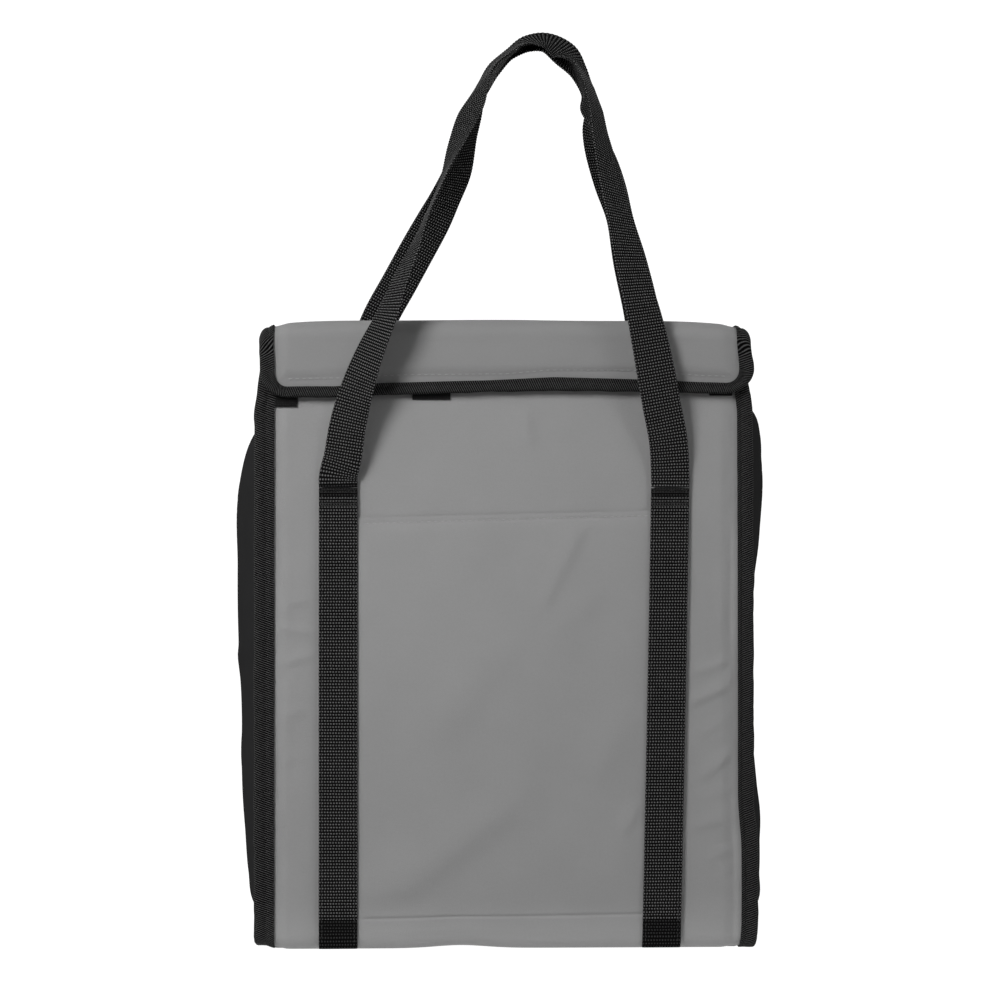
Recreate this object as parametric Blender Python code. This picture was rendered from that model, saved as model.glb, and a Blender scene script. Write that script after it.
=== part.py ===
"""Insulated tote bag: a grey padded body with black side gussets, a folded lid, a front pocket and two handles.

Metres, +Z up. The front of the bag faces -Y, and the origin is the centre of its flat underside.
"""

import math
from collections import namedtuple

import bmesh
import bpy
import numpy as np
from mathutils import Vector

# Driving dimensions of the body
BAG_WIDTH = 0.321  # across the front panel, over its bound edges
BASE_DEPTH = 0.165  # front face to back face at the foot
TOP_DEPTH = 0.150  # front face to back face under the lid
LID_HEIGHT = 0.400  # floor to the top of the lid, at its ends
BASE_RADIUS = 0.010  # rounding of the front and back panels into the base
PANEL_BELLY = 0.003  # outward bow of the panels over their height
PANEL_CROWN = 0.005  # outward bow of the panels over their width
WALL = 0.003  # padded wall: shell fabric, foam and inner film
GAP = 0.0003  # clearance left between neighbouring pieces

# Driving dimensions of the lid
LID_WIDTH = 0.316
LID_RADIUS = 0.010  # both bends of the lid, on their outer side
LID_CROWN = 0.0045  # rise of the lid's middle above its ends
LID_RETURN = 0.006  # straight stretch behind the back bend, down to the seam
LID_BACK_CROWN = 0.3  # share of the crown left where the lid bends down at the back
LID_FRONT_CROWN = 0.7  # share of the crown left where the flap starts
FLAP_DROP = 0.0485  # lid top to the lower edge of the flap, at its ends
FLAP_BOW = 0.004  # rise of the flap's lower edge at its middle
FLAP_CORNER = 0.013  # rounding of the flap's two lower corners
FLAP_SETTLE = 0.33  # share of the flap's height over which it takes up the front panel's crown

# Driving dimensions of the tape, webbing and pocket
TAPE = 0.0008  # thickness of the binding tape
BODY_TAPE_WIDTH = 0.012  # one leg of the tape on the body's side edges
LID_TAPE_WIDTH = 0.0095  # one leg of the tape round the lid
TAPE_SUNK = 0.0001  # how far the tape's face lies below the padding beside it
TAPE_EASE = 0.0012  # bare strip beside the tape before the padding rises
TAPE_RAMP = 0.004  # width over which the padding rises to its full thickness
TAPE_TURN = 0.001  # rounding of the tape where it turns round the edge
STRAP_WIDTH = 0.025
STRAP = 0.0015  # thickness of the webbing
STRAP_SPACING = 0.213  # centre to centre of the two sewn straps
STRAP_FOOT_SHIFT = -0.006  # how far the front right strap leans in at its foot
STRAP_FOOT_ANGLE = 45  # degrees that a strap follows the foot's rounding
TACK_HEIGHT = 0.2965  # where a handle leaves the bag
POCKET = 0.001  # thickness of the pocket's cloth
POCKET_TOP = 0.2795  # height of the pocket's upper edge at its middle
POCKET_TILT = 0.005  # how much higher the pocket's right end is than its left
PATCH = 0.0011  # thickness of a closure patch
PATCH_HEIGHT = 0.025

# Driving dimensions of the gussets
GUSSET_WALL = 0.002
GUSSET_STUB = 0.003  # straight stretch beside the seam
GUSSET_REACH = 0.029  # bulge of the gusset beyond its seam, at most
GUSSET_TUCK = 0.036  # inward fold of the gusset at its upper edge
GUSSET_FULLNESS = 0.7  # power of the bulge's arch from seam to seam: less is fuller beside the seams
GUSSET_CREASE = 1.15  # power of the inward fold's slope: more is sharper along its middle

# Driving dimensions of the handles
HANDLE_RISE = 0.300  # where the handle leaves the bag to the crest
HANDLE_ROOT = 0.006  # straight stretch of a handle above the end of its sewn strap
HANDLE_LAYER = 0.0007  # clearance between the two handles where one lies on the other

# What follows from the driving dimensions
RECESS = TAPE + GAP + TAPE_SUNK
PANEL_TOP = LID_HEIGHT - LID_RADIUS
BACK_SEAM = PANEL_TOP - LID_RETURN
FLAP_GAP = PATCH + TAPE + 3 * GAP
SEAM_X = BAG_WIDTH / 2 - BODY_TAPE_WIDTH - 2 * GAP
CREST_OFFSET = STRAP + HANDLE_LAYER

# How far each gusset bulges and folds in, at shares of the height up to its top.
# left and right are shares of GUSSET_REACH, tuck is a share of GUSSET_TUCK.
GussetSection = namedtuple("GussetSection", "height left right tuck")
GUSSET_SECTIONS = [
    GussetSection(0.00, 0.00, 0.00, 0.00),
    GussetSection(0.04, 0.50, 0.68, 0.00),
    GussetSection(0.10, 0.69, 0.82, 0.00),
    GussetSection(0.18, 0.79, 0.86, 0.00),
    GussetSection(0.33, 0.84, 0.72, 0.00),
    GussetSection(0.50, 0.93, 0.70, 0.00),
    GussetSection(0.62, 0.99, 0.81, 0.00),
    GussetSection(0.70, 1.00, 0.94, 0.00),
    GussetSection(0.78, 0.90, 0.95, 0.05),
    GussetSection(0.84, 0.72, 0.88, 0.18),
    GussetSection(0.90, 0.38, 0.52, 0.46),
    GussetSection(0.95, 0.14, 0.20, 0.76),
    GussetSection(1.00, 0.00, 0.00, 1.00),
]

# Stations along a handle. across is a share of half STRAP_SPACING, up of HANDLE_RISE, out of the strap's own
# distance from the bag's middle plane, and turn is in degrees: 0 faces away from the bag, 90 shows its edge.
Station = namedtuple("Station", "across up out turn")
FRONT_LEFT_LEG = [
    Station(-0.975, 0.06, 1.03, 10),
    Station(-0.94, 0.135, 1.07, 18),
    Station(-0.885, 0.21, 1.1, 30),
    Station(-0.81, 0.285, 1.13, 43),
    Station(-0.71, 0.365, 1.12, 56),
    Station(-0.63, 0.44, 1.06, 65),
    Station(-0.54, 0.515, 0.98, 75),
    Station(-0.475, 0.575, 0.9, 83),
    Station(-0.41, 0.63, 0.83, 84),
    Station(-0.345, 0.68, 0.76, 78),
    Station(-0.255, 0.755, 0.62, 67),
    Station(-0.2, 0.815, 0.49, 67),
]
CREST = [
    Station(-0.10, 0.90, 0.29, 77),
    Station(-0.01, 0.945, 0.17, 74),
    Station(0.08, 0.974, 0.09, 70),
    Station(0.18, 0.993, 0.03, 64),
    Station(0.28, 0.995, 0.00, 56),
    Station(0.39, 0.972, 0.04, 48),
    Station(0.46, 0.938, 0.12, 52),
    Station(0.53, 0.885, 0.28, 70),
]
FRONT_RIGHT_LEG = [
    Station(0.575, 0.825, 0.46, 73),
    Station(0.605, 0.755, 0.62, 64),
    Station(0.655, 0.67, 0.78, 52),
    Station(0.69, 0.6, 0.89, 44),
    Station(0.755, 0.49, 1.02, 34),
    Station(0.8, 0.42, 1.08, 29),
    Station(0.84, 0.36, 1.12, 22),
    Station(0.895, 0.265, 1.13, 8),
    Station(0.94, 0.18, 1.09, 3),
    Station(0.985, 0.1, 1.04, 1),
]
BACK_LEFT_LEG = [
    Station(-0.975, 0.12, 1.03, 2),
    Station(-0.9, 0.25, 1.07, 3),
    Station(-0.76, 0.395, 1.07, 3),
    Station(-0.635, 0.475, 1.03, 5),
    Station(-0.51, 0.555, 0.97, 9),
    Station(-0.41, 0.62, 0.89, 17),
    Station(-0.34, 0.67, 0.83, 26),
    Station(-0.27, 0.735, 0.73, 36),
    Station(-0.225, 0.8, 0.6, 42),
    Station(-0.18, 0.85, 0.47, 54),
]
BACK_RIGHT_LEG = [
    Station(0.585, 0.86, 0.42, 62),
    Station(0.635, 0.79, 0.57, 46),
    Station(0.72, 0.705, 0.77, 33),
    Station(0.80, 0.625, 0.89, 32),
    Station(0.87, 0.52, 1.00, 24),
    Station(0.95, 0.40, 1.07, 8),
    Station(0.99, 0.22, 1.05, 1),
]

# Closure patches on the front panel, under the flap. from_middle is the patch's middle as a share of half
# BAG_WIDTH, width a share of STRAP_WIDTH, and foot how far it hangs below the flap's lower corners, as a share
# of PATCH_HEIGHT.
Patch = namedtuple("Patch", "name from_middle width foot")
PATCHES = [
    Patch("closure_patch_left", -0.877, 0.60, 0.26),
    Patch("closure_patch_middle", -0.294, 0.98, -0.04),
    Patch("closure_patch_right", 0.877, 0.60, 0.02),
]

# Grid densities
ARC_STEPS = 4
PANEL_ROWS = 11
PANEL_COLUMNS = 10
GUSSET_ROWS = 16
GUSSET_COLUMNS = 12
LID_BEND_STEPS = 4
LID_TOP_ROWS = 4
FLAP_ROWS = 3
HANDLE_SECTIONS = 84
STRAP_ROWS = 11
STRAP_COLUMNS = 3
POCKET_ROWS = 9
POCKET_COLUMNS = 10
PATCH_COLUMNS = 4
FOOT_ROWS = 4

# Steps that only the meshes' making needs
SHARP_ANGLE = 40  # degrees between faces that keep a sharp edge
PROBE = 0.001  # distance before and after a place at which a handle's direction is read


def clear_scene():
    for thing in list(bpy.data.objects):
        bpy.data.objects.remove(thing, do_unlink=True)


def make_material(name, colour, roughness):
    made = bpy.data.materials.new(name)
    made.use_nodes = True
    shader = made.node_tree.nodes["Principled BSDF"]
    shader.inputs["Base Color"].default_value = (*colour, 1.0)
    shader.inputs["Roughness"].default_value = roughness
    shader.inputs["Metallic"].default_value = 0.0
    return made


def make_wall(name, outer, inner, finish):
    """A closed wall between two grids of points, each indexed by row and column."""
    shape = bmesh.new()
    outside = [[shape.verts.new(point) for point in row] for row in outer]
    inside = [[shape.verts.new(point) for point in row] for row in inner]
    last_row = len(outside) - 1
    last_column = len(outside[0]) - 1
    for row in range(last_row):
        for column in range(last_column):
            for side in (outside, inside):
                near, far = side[row], side[row + 1]
                shape.faces.new((near[column], near[column + 1], far[column + 1], far[column]))
    for column in range(last_column):
        for row in (0, last_row):
            near, far = outside[row], inside[row]
            shape.faces.new((near[column], near[column + 1], far[column + 1], far[column]))
    for row in range(last_row):
        for column in (0, last_column):
            near = (outside[row][column], outside[row + 1][column])
            shape.faces.new((*near, inside[row + 1][column], inside[row][column]))
    bmesh.ops.recalc_face_normals(shape, faces=shape.faces)
    mesh = bpy.data.meshes.new(name)
    shape.to_mesh(mesh)
    shape.free()
    mesh.shade_smooth()
    mesh.set_sharp_from_angle(angle=math.radians(SHARP_ANGLE))
    mesh.materials.append(finish)
    piece = bpy.data.objects.new(name, mesh)
    bpy.context.scene.collection.objects.link(piece)
    return piece


def smooth_step(value, start, end):
    share = min(max((value - start) / (end - start), 0.0), 1.0)
    return share * share * (3 - 2 * share)


def smooth_value(places, values, place):
    """A smooth curve through the values at rising places, with its slopes taken from each value's neighbours."""
    places = np.asarray(places, float)
    values = np.asarray(values, float)
    slopes = np.gradient(values, places, axis=0)
    i = int(np.clip(np.searchsorted(places, place) - 1, 0, len(places) - 2))
    step = places[i + 1] - places[i]
    t = (place - places[i]) / step
    return (
        (2 * t**3 - 3 * t**2 + 1) * values[i]
        + (t**3 - 2 * t**2 + t) * step * slopes[i]
        + (3 * t**2 - 2 * t**3) * values[i + 1]
        + (t**3 - t**2) * step * slopes[i + 1]
    )


def half_depth(height):
    """Distance of the panels' face from the bag's middle plane at their side edges."""
    share = min(max(height / LID_HEIGHT, 0.0), 1.0)
    taper = (BASE_DEPTH + (TOP_DEPTH - BASE_DEPTH) * share) / 2
    return taper + PANEL_BELLY * math.sin(math.pi * share)


def padding(across, height):
    """Outward swell of a panel's face: crowned in its middle and pressed down under the tape at its edges."""
    rise = math.sin(math.pi * min(max(height / LID_HEIGHT, 0.0), 1.0))
    crown = PANEL_CROWN * rise * max(0.0, 1 - (across / SEAM_X) ** 2) ** 2
    pressed = BAG_WIDTH / 2 - BODY_TAPE_WIDTH - TAPE_EASE
    return crown - RECESS * smooth_step(abs(across), pressed - TAPE_RAMP, pressed)


def panel_point(side, across, station, lift, follow=True):
    """A point on the front (side -1) or back (side 1) panel, lift metres outside its face.

    A station from -1 to 0 runs round the foot, from the base to the upright wall. Above 0 it is the height share.
    With follow off, the point ignores the padding.
    """
    start = half_depth(BASE_RADIUS)
    if station < 0:
        lift += padding(across, 0.0) if follow else 0.0
        angle = -station * math.pi / 2
        out = start - BASE_RADIUS + (BASE_RADIUS + lift) * math.cos(angle)
        return Vector((across, side * out, BASE_RADIUS - (BASE_RADIUS + lift) * math.sin(angle)))
    height = BASE_RADIUS + station * (LID_HEIGHT - BASE_RADIUS)
    lift += padding(across, height) if follow else 0.0
    return Vector((across, side * (half_depth(height) + lift), height))


def station_at(height):
    return (height - BASE_RADIUS) / (LID_HEIGHT - BASE_RADIUS)


def foot_stations(lowest=-1.0):
    return list(np.linspace(lowest, 0.0, ARC_STEPS + 1)[:-1])


def panel_columns():
    """Columns across a panel, with one at each bend of its padding."""
    pressed = BAG_WIDTH / 2 - BODY_TAPE_WIDTH - TAPE_EASE
    edge = BAG_WIDTH / 2 - TAPE - GAP
    half = [pressed - TAPE_RAMP, pressed - TAPE_RAMP / 2, pressed, edge]
    middle = list(np.linspace(-half[0], half[0], PANEL_COLUMNS + 1))
    return [-x for x in reversed(half[1:])] + middle + half[1:]


def make_panel(name, side, top, finish):
    stations = foot_stations() + list(np.linspace(0.0, station_at(top), PANEL_ROWS + 1))
    columns = panel_columns()
    outer = [[panel_point(side, x, s, 0.0) for x in columns] for s in stations]
    inner = [[panel_point(side, x, s, inner_lift(x, s), False) for x in columns] for s in stations]
    return make_wall(name, outer, inner, finish)


def inner_lift(across, station):
    """Place of a panel's inner face. It follows the crown, but not the hollow under the tape."""
    if abs(across) > SEAM_X or station < 0:
        return -WALL
    return -WALL + max(0.0, padding(across, BASE_RADIUS + station * (LID_HEIGHT - BASE_RADIUS)))


def make_base(finish):
    """The flat base, between the feet of the front and back panels."""
    reach = half_depth(BASE_RADIUS) - BASE_RADIUS - GAP
    rows = [-reach, 0.0, reach]
    outer = [[(x, y, -padding(x, 0.0)) for x in panel_columns()] for y in rows]
    inner = [[(x, y, WALL) for x in panel_columns()] for y in rows]
    return make_wall("base_panel", outer, inner, finish)


def tape_section(edge, leg):
    """The tape's U section round an edge, as (across, lift) pairs: two legs and a turned end."""
    low = -WALL - GAP - TAPE
    high = -RECESS + GAP + TAPE
    inset = TAPE_TURN + TAPE
    # The tape's outer corners pass this far inside the square corner.
    cut = TAPE_TURN / 3
    start = edge - leg
    outside = [
        (start, high),
        (edge - inset, high),
        (edge - cut, high - cut),
        (edge, high - inset),
        (edge, low + inset),
        (edge - cut, low + cut),
        (edge - inset, low),
        (start, low),
    ]
    inside = [
        (start, high - TAPE),
        (edge - inset, high - TAPE),
        (edge - TAPE - GAP / 3, high - TAPE - GAP / 3),
        (edge - TAPE, high - inset),
        (edge - TAPE, low + inset),
        (edge - TAPE - GAP / 3, low + TAPE + GAP / 3),
        (edge - inset, low + TAPE),
        (start, low + TAPE),
    ]
    return outside, inside


def make_body_tape(name, hand, finish):
    """The tape that binds one side edge of the body: down the front, under the base and up the back."""
    outside, inside = tape_section(BAG_WIDTH / 2, BODY_TAPE_WIDTH)
    front = list(np.linspace(station_at(PANEL_TOP), 0.0, PANEL_ROWS + 1)) + foot_stations()[::-1]
    back = foot_stations() + list(np.linspace(0.0, station_at(BACK_SEAM), PANEL_ROWS + 1))
    path = [(-1, s) for s in front] + [(1, s) for s in back]
    rows = [
        [[panel_point(side, hand * x, s, lift, False) for x, lift in section] for side, s in path]
        for section in (outside, inside)
    ]
    return make_wall(name, rows[0], rows[1], finish)


def gusset_value(column, height):
    places = [section.height for section in GUSSET_SECTIONS]
    values = [getattr(section, column) for section in GUSSET_SECTIONS]
    return smooth_value(places, values, height)


def make_gusset(name, hand, finish):
    """A side gusset that bulges over its height and folds in at the top, like the side of a paper bag."""
    bulge_column = "left" if hand < 0 else "right"
    inner_radius = BASE_RADIUS - WALL - GAP
    foot = half_depth(BASE_RADIUS) - BASE_RADIUS
    bottom = WALL + GAP
    # The lowest stretch stands straight beside the tape that runs under the base.
    stub_top = bottom + TAPE + 2 * GAP
    rows = []
    for height in [bottom, *np.linspace(stub_top, BASE_RADIUS, FOOT_ROWS)[:-1]]:
        rows.append((height, foot + math.sqrt(max(0.0, inner_radius**2 - (BASE_RADIUS - height) ** 2))))
    for height in np.linspace(BASE_RADIUS, PANEL_TOP, GUSSET_ROWS + 1):
        rows.append((height, half_depth(height) - WALL - GAP))
    waves = (1 - np.cos(np.linspace(0.0, math.pi, GUSSET_COLUMNS + 1))) / 2
    outer = []
    for height, reach in rows:
        share = max(0.0, (height - stub_top) / (PANEL_TOP - stub_top))
        bulge = GUSSET_REACH * max(0.0, gusset_value(bulge_column, share))
        tuck = GUSSET_TUCK * max(0.0, gusset_value("tuck", share))
        row = [Vector((hand * SEAM_X, -reach, height))]
        for wave in waves:
            away = (1 - abs(2 * wave - 1)) ** GUSSET_CREASE
            across = SEAM_X + bulge * math.sin(math.pi * wave) ** GUSSET_FULLNESS - tuck * away
            row.append(Vector((hand * across, (reach - GUSSET_STUB) * (2 * wave - 1), height)))
        row.append(Vector((hand * SEAM_X, reach, height)))
        outer.append(row)
    inner = [[point - Vector((hand * GUSSET_WALL, 0.0, 0.0)) for point in row] for row in outer]
    return make_wall(name, outer, inner, finish)


def lid_lengths():
    """Where the lid's stretches end along its profile: return, back bend, top, front bend and flap."""
    bend = math.pi / 2 * LID_RADIUS
    front = half_depth(PANEL_TOP) + FLAP_GAP + WALL
    back = half_depth(PANEL_TOP)
    top = front + back - 2 * LID_RADIUS
    return np.cumsum([0.0, LID_RETURN, bend, top, bend, FLAP_DROP - LID_RADIUS])


def lid_point(across, along, lift):
    """A point on the lid, along metres from its back seam, lift metres outside its face."""
    marks = lid_lengths()
    middle = 1 - (across / (LID_WIDTH / 2)) ** 2
    back = half_depth(PANEL_TOP)
    front = back + FLAP_GAP + WALL
    crown = LID_CROWN * middle
    centre = PANEL_TOP
    radius = LID_RADIUS + lift
    if along <= marks[1]:
        rise = along / LID_RETURN
        height = BACK_SEAM + GAP + (LID_RETURN - GAP) * rise
        return Vector((across, back + lift, height + crown * LID_BACK_CROWN * rise))
    if along <= marks[2]:
        angle = (along - marks[1]) / LID_RADIUS
        share = LID_BACK_CROWN + (1 - LID_BACK_CROWN) * angle / (math.pi / 2)
        y = back - LID_RADIUS + radius * math.cos(angle)
        return Vector((across, y, centre + radius * math.sin(angle) + crown * share))
    if along <= marks[3]:
        return Vector((across, back - LID_RADIUS - (along - marks[2]), LID_HEIGHT + lift + crown))
    if along <= marks[4]:
        angle = (along - marks[3]) / LID_RADIUS
        share = 1 - (1 - LID_FRONT_CROWN) * angle / (math.pi / 2)
        y = -(front - LID_RADIUS + radius * math.sin(angle))
        return Vector((across, y, centre + radius * math.cos(angle) + crown * share))
    drop = (along - marks[4]) / (marks[5] - marks[4])
    height = centre - drop * (FLAP_DROP - LID_RADIUS)
    height += crown * LID_FRONT_CROWN * (1 - drop) + FLAP_BOW * middle * drop
    inside_seam = max(0.0, 1 - (across / SEAM_X) ** 2)
    swelling = PANEL_CROWN * math.sin(math.pi * height / LID_HEIGHT) * inside_seam**2
    hang = half_depth(height) - back + swelling * min(1.0, drop / FLAP_SETTLE)
    return Vector((across, -(front + hang + lift), height))


def lid_press(across, to_end):
    """How far the lid's padding is pressed down under the tape."""
    from_edge = min(LID_WIDTH / 2 - abs(across), to_end)
    pressed = LID_TAPE_WIDTH + TAPE_EASE
    return RECESS * (1 - smooth_step(from_edge, pressed, pressed + TAPE_RAMP))


def corner_rise(across, radius, reach):
    """How much shorter the flap is at this place across it, because its corners are rounded."""
    into = abs(across) - (reach - radius)
    return radius - math.sqrt(max(0.0, radius**2 - into**2)) if into > 0 else 0.0


def make_lid(finish):
    marks = lid_lengths()
    edge = LID_WIDTH / 2 - TAPE - GAP
    radius = FLAP_CORNER - TAPE - GAP
    pressed = LID_WIDTH / 2 - LID_TAPE_WIDTH - TAPE_EASE
    turns = [edge - radius * (1 - math.sin(a)) for a in np.radians([0, 25, 45, 62, 77, 90])]
    half = sorted({pressed - TAPE_RAMP, pressed - TAPE_RAMP / 2, *turns})
    middle = list(np.linspace(-half[0], half[0], PANEL_COLUMNS + 1))
    columns = [-x for x in reversed(half[1:])] + middle + half[1:]
    end = marks[5] - TAPE - GAP
    upper = end - LID_TAPE_WIDTH - TAPE_EASE - TAPE_RAMP
    bends = [np.linspace(marks[i], marks[i + 1], LID_BEND_STEPS + 1)[1:] for i in (1, 3)]
    straight = np.linspace(marks[2], marks[3], LID_TOP_ROWS + 1)[1:]
    rows = [0.0, marks[1], *bends[0], *straight, *bends[1], *np.linspace(marks[4], upper, FLAP_ROWS)[1:]]
    outer, inner = [], []
    for along in rows:
        outer.append([lid_point(x, along, -lid_press(x, marks[5] - along)) for x in columns])
        inner.append([lid_point(x, along, -WALL) for x in columns])
    # Below the last straight row the rows close up towards the rounded lower edge.
    for share in (0.25, 0.5, 0.75, 1.0):
        stops = [upper + share * (end - corner_rise(x, radius, edge) - upper) for x in columns]
        outer.append([lid_point(x, a, -lid_press(x, marks[5] - a)) for x, a in zip(columns, stops)])
        inner.append([lid_point(x, a, -WALL) for x, a in zip(columns, stops)])
    return make_wall("lid", outer, inner, finish)


def make_lid_tape(finish):
    """The tape round the lid's two sides and the flap's lower edge, turned round the rounded corners."""
    marks = lid_lengths()
    half = LID_WIDTH / 2
    start, end = marks[0], marks[5]
    centre_x, centre_a = half - FLAP_CORNER, end - FLAP_CORNER
    bends = [np.linspace(marks[i], marks[i + 1], LID_BEND_STEPS + 1) for i in (1, 3)]
    side = [start, *bends[0], *np.linspace(marks[2], marks[3], 4)[1:-1], *bends[1]]
    side += list(np.linspace(marks[4], centre_a, 4))[1:]
    # Each path row holds the edge's place and the direction from the edge out of the lid.
    path = [(half, a, 1.0, 0.0) for a in side]
    for angle in np.radians([18, 36, 54, 72, 90]):
        out_x, out_a = math.cos(angle), math.sin(angle)
        path.append((centre_x + FLAP_CORNER * out_x, centre_a + FLAP_CORNER * out_a, out_x, out_a))
    path += [(x, end, 0.0, 1.0) for x in np.linspace(centre_x, -centre_x, PANEL_COLUMNS + 1)[1:-1]]
    path += [(-x, a, -out_x, out_a) for x, a, out_x, out_a in reversed(path[: len(side) + 5])]
    rows = []
    for section in tape_section(0.0, LID_TAPE_WIDTH):
        rows.append(
            [
                [lid_point(x + out_x * reach, a + out_a * reach, lift) for reach, lift in section]
                for x, a, out_x, out_a in path
            ]
        )
    return make_wall("lid_binding", rows[0], rows[1], finish)


def strap_across(side, hand, height):
    """Middle of a sewn strap at a height. The front right one leans in towards its foot."""
    lean = STRAP_FOOT_SHIFT * max(0.0, 1 - height / TACK_HEIGHT) if side < 0 < hand else 0.0
    return hand * STRAP_SPACING / 2 + lean


def strap_lift(side):
    """Distance of a strap's inner face from its panel. The front straps cover the pocket's edges."""
    return GAP + (POCKET + GAP if side < 0 else 0.0)


def make_strap(name, side, hand, finish):
    stations = foot_stations(-STRAP_FOOT_ANGLE / 90)
    stations += list(np.linspace(0.0, station_at(TACK_HEIGHT), STRAP_ROWS + 1))
    outer, inner = [], []
    for station in stations:
        height = BASE_RADIUS + max(station, 0.0) * (LID_HEIGHT - BASE_RADIUS)
        middle = strap_across(side, hand, height)
        columns = np.linspace(middle - STRAP_WIDTH / 2, middle + STRAP_WIDTH / 2, STRAP_COLUMNS + 1)
        lift = strap_lift(side)
        outer.append([panel_point(side, x, station, lift + STRAP) for x in columns])
        inner.append([panel_point(side, x, station, lift) for x in columns])
    return make_wall(name, outer, inner, finish)


def make_pocket(finish):
    """The flat pocket between the front straps, open along its upper edge."""
    half = STRAP_SPACING / 2
    columns = np.linspace(-half, half, POCKET_COLUMNS + 1)
    outer, inner = [], []
    for share in np.linspace(0.0, 1.0, POCKET_ROWS + 1):
        outer.append([])
        inner.append([])
        for x in columns:
            top = POCKET_TOP + POCKET_TILT * x / STRAP_SPACING
            station = station_at(BASE_RADIUS + share * (top - BASE_RADIUS))
            # The lower edge closes in with the leaning strap that covers its right end.
            lean = STRAP_FOOT_SHIFT * (1 - share) * max(0.0, x / half)
            outer[-1].append(panel_point(-1, x + lean, station, GAP + POCKET))
            inner[-1].append(panel_point(-1, x + lean, station, GAP))
    return make_wall("front_pocket", outer, inner, finish)


def make_patch(patch, finish):
    """A hook-and-loop patch on the front panel, mostly under the flap."""
    width = patch.width * STRAP_WIDTH
    middle = patch.from_middle * BAG_WIDTH / 2
    foot = LID_HEIGHT - FLAP_DROP - patch.foot * PATCH_HEIGHT
    columns = np.linspace(middle - width / 2, middle + width / 2, PATCH_COLUMNS + 1)
    stations = [station_at(foot + share * PATCH_HEIGHT) for share in (0.0, 0.5, 1.0)]
    outer = [[panel_point(-1, x, s, GAP + PATCH) for x in columns] for s in stations]
    inner = [[panel_point(-1, x, s, GAP) for x in columns] for s in stations]
    return make_wall(patch.name, outer, inner, finish)


def handle_root(side, hand):
    """The straight root of a handle above a sewn strap's end: two points, and the turn that lies on the panel."""
    middle = strap_across(side, hand, TACK_HEIGHT)
    lift = strap_lift(side) + STRAP / 2
    end = panel_point(side, middle, station_at(TACK_HEIGHT + GAP), lift)
    rise = panel_point(side, middle, station_at(TACK_HEIGHT + HANDLE_ROOT), lift)
    half = STRAP_WIDTH / 2
    fall = padding(abs(middle) - half, TACK_HEIGHT) - padding(abs(middle) + half, TACK_HEIGHT)
    return end, rise, math.degrees(math.atan(fall / STRAP_WIDTH))


def handle_points(side, left_leg, right_leg):
    """Middle points and turns of a handle's stations, from the left strap's end over the crest to the right."""
    end, rise, turn = handle_root(side, -1)
    out_at_root = abs(end.y)
    points, turns = [end, rise], [turn, turn]
    for station in left_leg + CREST + right_leg:
        across = station.across * STRAP_SPACING / 2
        height = TACK_HEIGHT + station.up * HANDLE_RISE
        points.append(Vector((across, side * station.out * out_at_root, height)))
        # Over the crest both handles lie the same way, so the back one has turned past its edge.
        on_crest = station in CREST and side > 0
        turns.append(180.0 - station.turn if on_crest else float(station.turn))
    end, rise, turn = handle_root(side, 1)
    return points + [rise, end], turns + [turn, turn]


def face_direction(side, tangent, turn):
    """The outward normal of a handle with this tangent, turned from the bag's face towards the loop's outside."""
    away = Vector((0.0, side, 0.0))
    outward = Vector((-tangent.z, 0.0, tangent.x)).normalized()
    normal = math.cos(turn) * away + math.sin(turn) * outward
    return (normal - normal.dot(tangent) * tangent).normalized()


def make_handle(name, side, left_leg, right_leg, finish):
    points, turns = handle_points(side, left_leg, right_leg)
    runs = [0.0]
    for before, after in zip(points, points[1:]):
        runs.append(runs[-1] + (after - before).length)
    runs = np.array(runs)
    table = np.array([[*point, math.radians(turn)] for point, turn in zip(points, turns)])
    last_left = len(left_leg) + 1
    crest_start = runs[last_left]
    crest_end = runs[last_left + len(CREST) + 1]
    ease = runs[last_left + 1] - crest_start
    outer, inner = [], []
    for run in np.linspace(0.0, runs[-1], HANDLE_SECTIONS):
        here = smooth_value(runs, table, run)
        before = smooth_value(runs, table, max(run - PROBE, 0.0))
        after = smooth_value(runs, table, min(run + PROBE, runs[-1]))
        tangent = Vector(after[:3] - before[:3]).normalized()
        normal = face_direction(side, tangent, here[3])
        width = normal.cross(tangent) * STRAP_WIDTH / 2
        middle = Vector(here[:3])
        if side > 0:
            # The back handle runs under the front one over the crest.
            under = smooth_step(run, crest_start, crest_start + ease)
            under *= 1 - smooth_step(run, crest_end - ease, crest_end)
            middle -= normal * CREST_OFFSET * under
        outer.append([middle + normal * STRAP / 2 - width, middle + normal * STRAP / 2 + width])
        inner.append([middle - normal * STRAP / 2 - width, middle - normal * STRAP / 2 + width])
    return make_wall(name, outer, inner, finish)


def main():
    clear_scene()
    shell = make_material("shell_fabric", (0.25, 0.25, 0.25), 0.85)
    black = make_material("gusset_fabric", (0.02, 0.02, 0.02), 0.70)
    tape = make_material("binding_tape", (0.022, 0.022, 0.022), 0.80)
    webbing = make_material("webbing", (0.025, 0.025, 0.025), 0.75)
    hook_tape = make_material("closure_tape", (0.012, 0.012, 0.012), 0.95)

    make_panel("front_panel", -1, PANEL_TOP, shell)
    make_panel("back_panel", 1, BACK_SEAM, shell)
    make_base(shell)
    make_lid(shell)
    make_pocket(shell)
    for label, hand in (("left", -1), ("right", 1)):
        make_gusset(f"gusset_{label}", hand, black)
        make_body_tape(f"body_binding_{label}", hand, tape)
        make_strap(f"front_strap_{label}", -1, hand, webbing)
        make_strap(f"back_strap_{label}", 1, hand, webbing)
    make_lid_tape(tape)
    make_handle("front_handle", -1, FRONT_LEFT_LEG, FRONT_RIGHT_LEG, webbing)
    make_handle("back_handle", 1, BACK_LEFT_LEG, BACK_RIGHT_LEG, webbing)
    for patch in PATCHES:
        make_patch(patch, hook_tape)


main()
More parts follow.
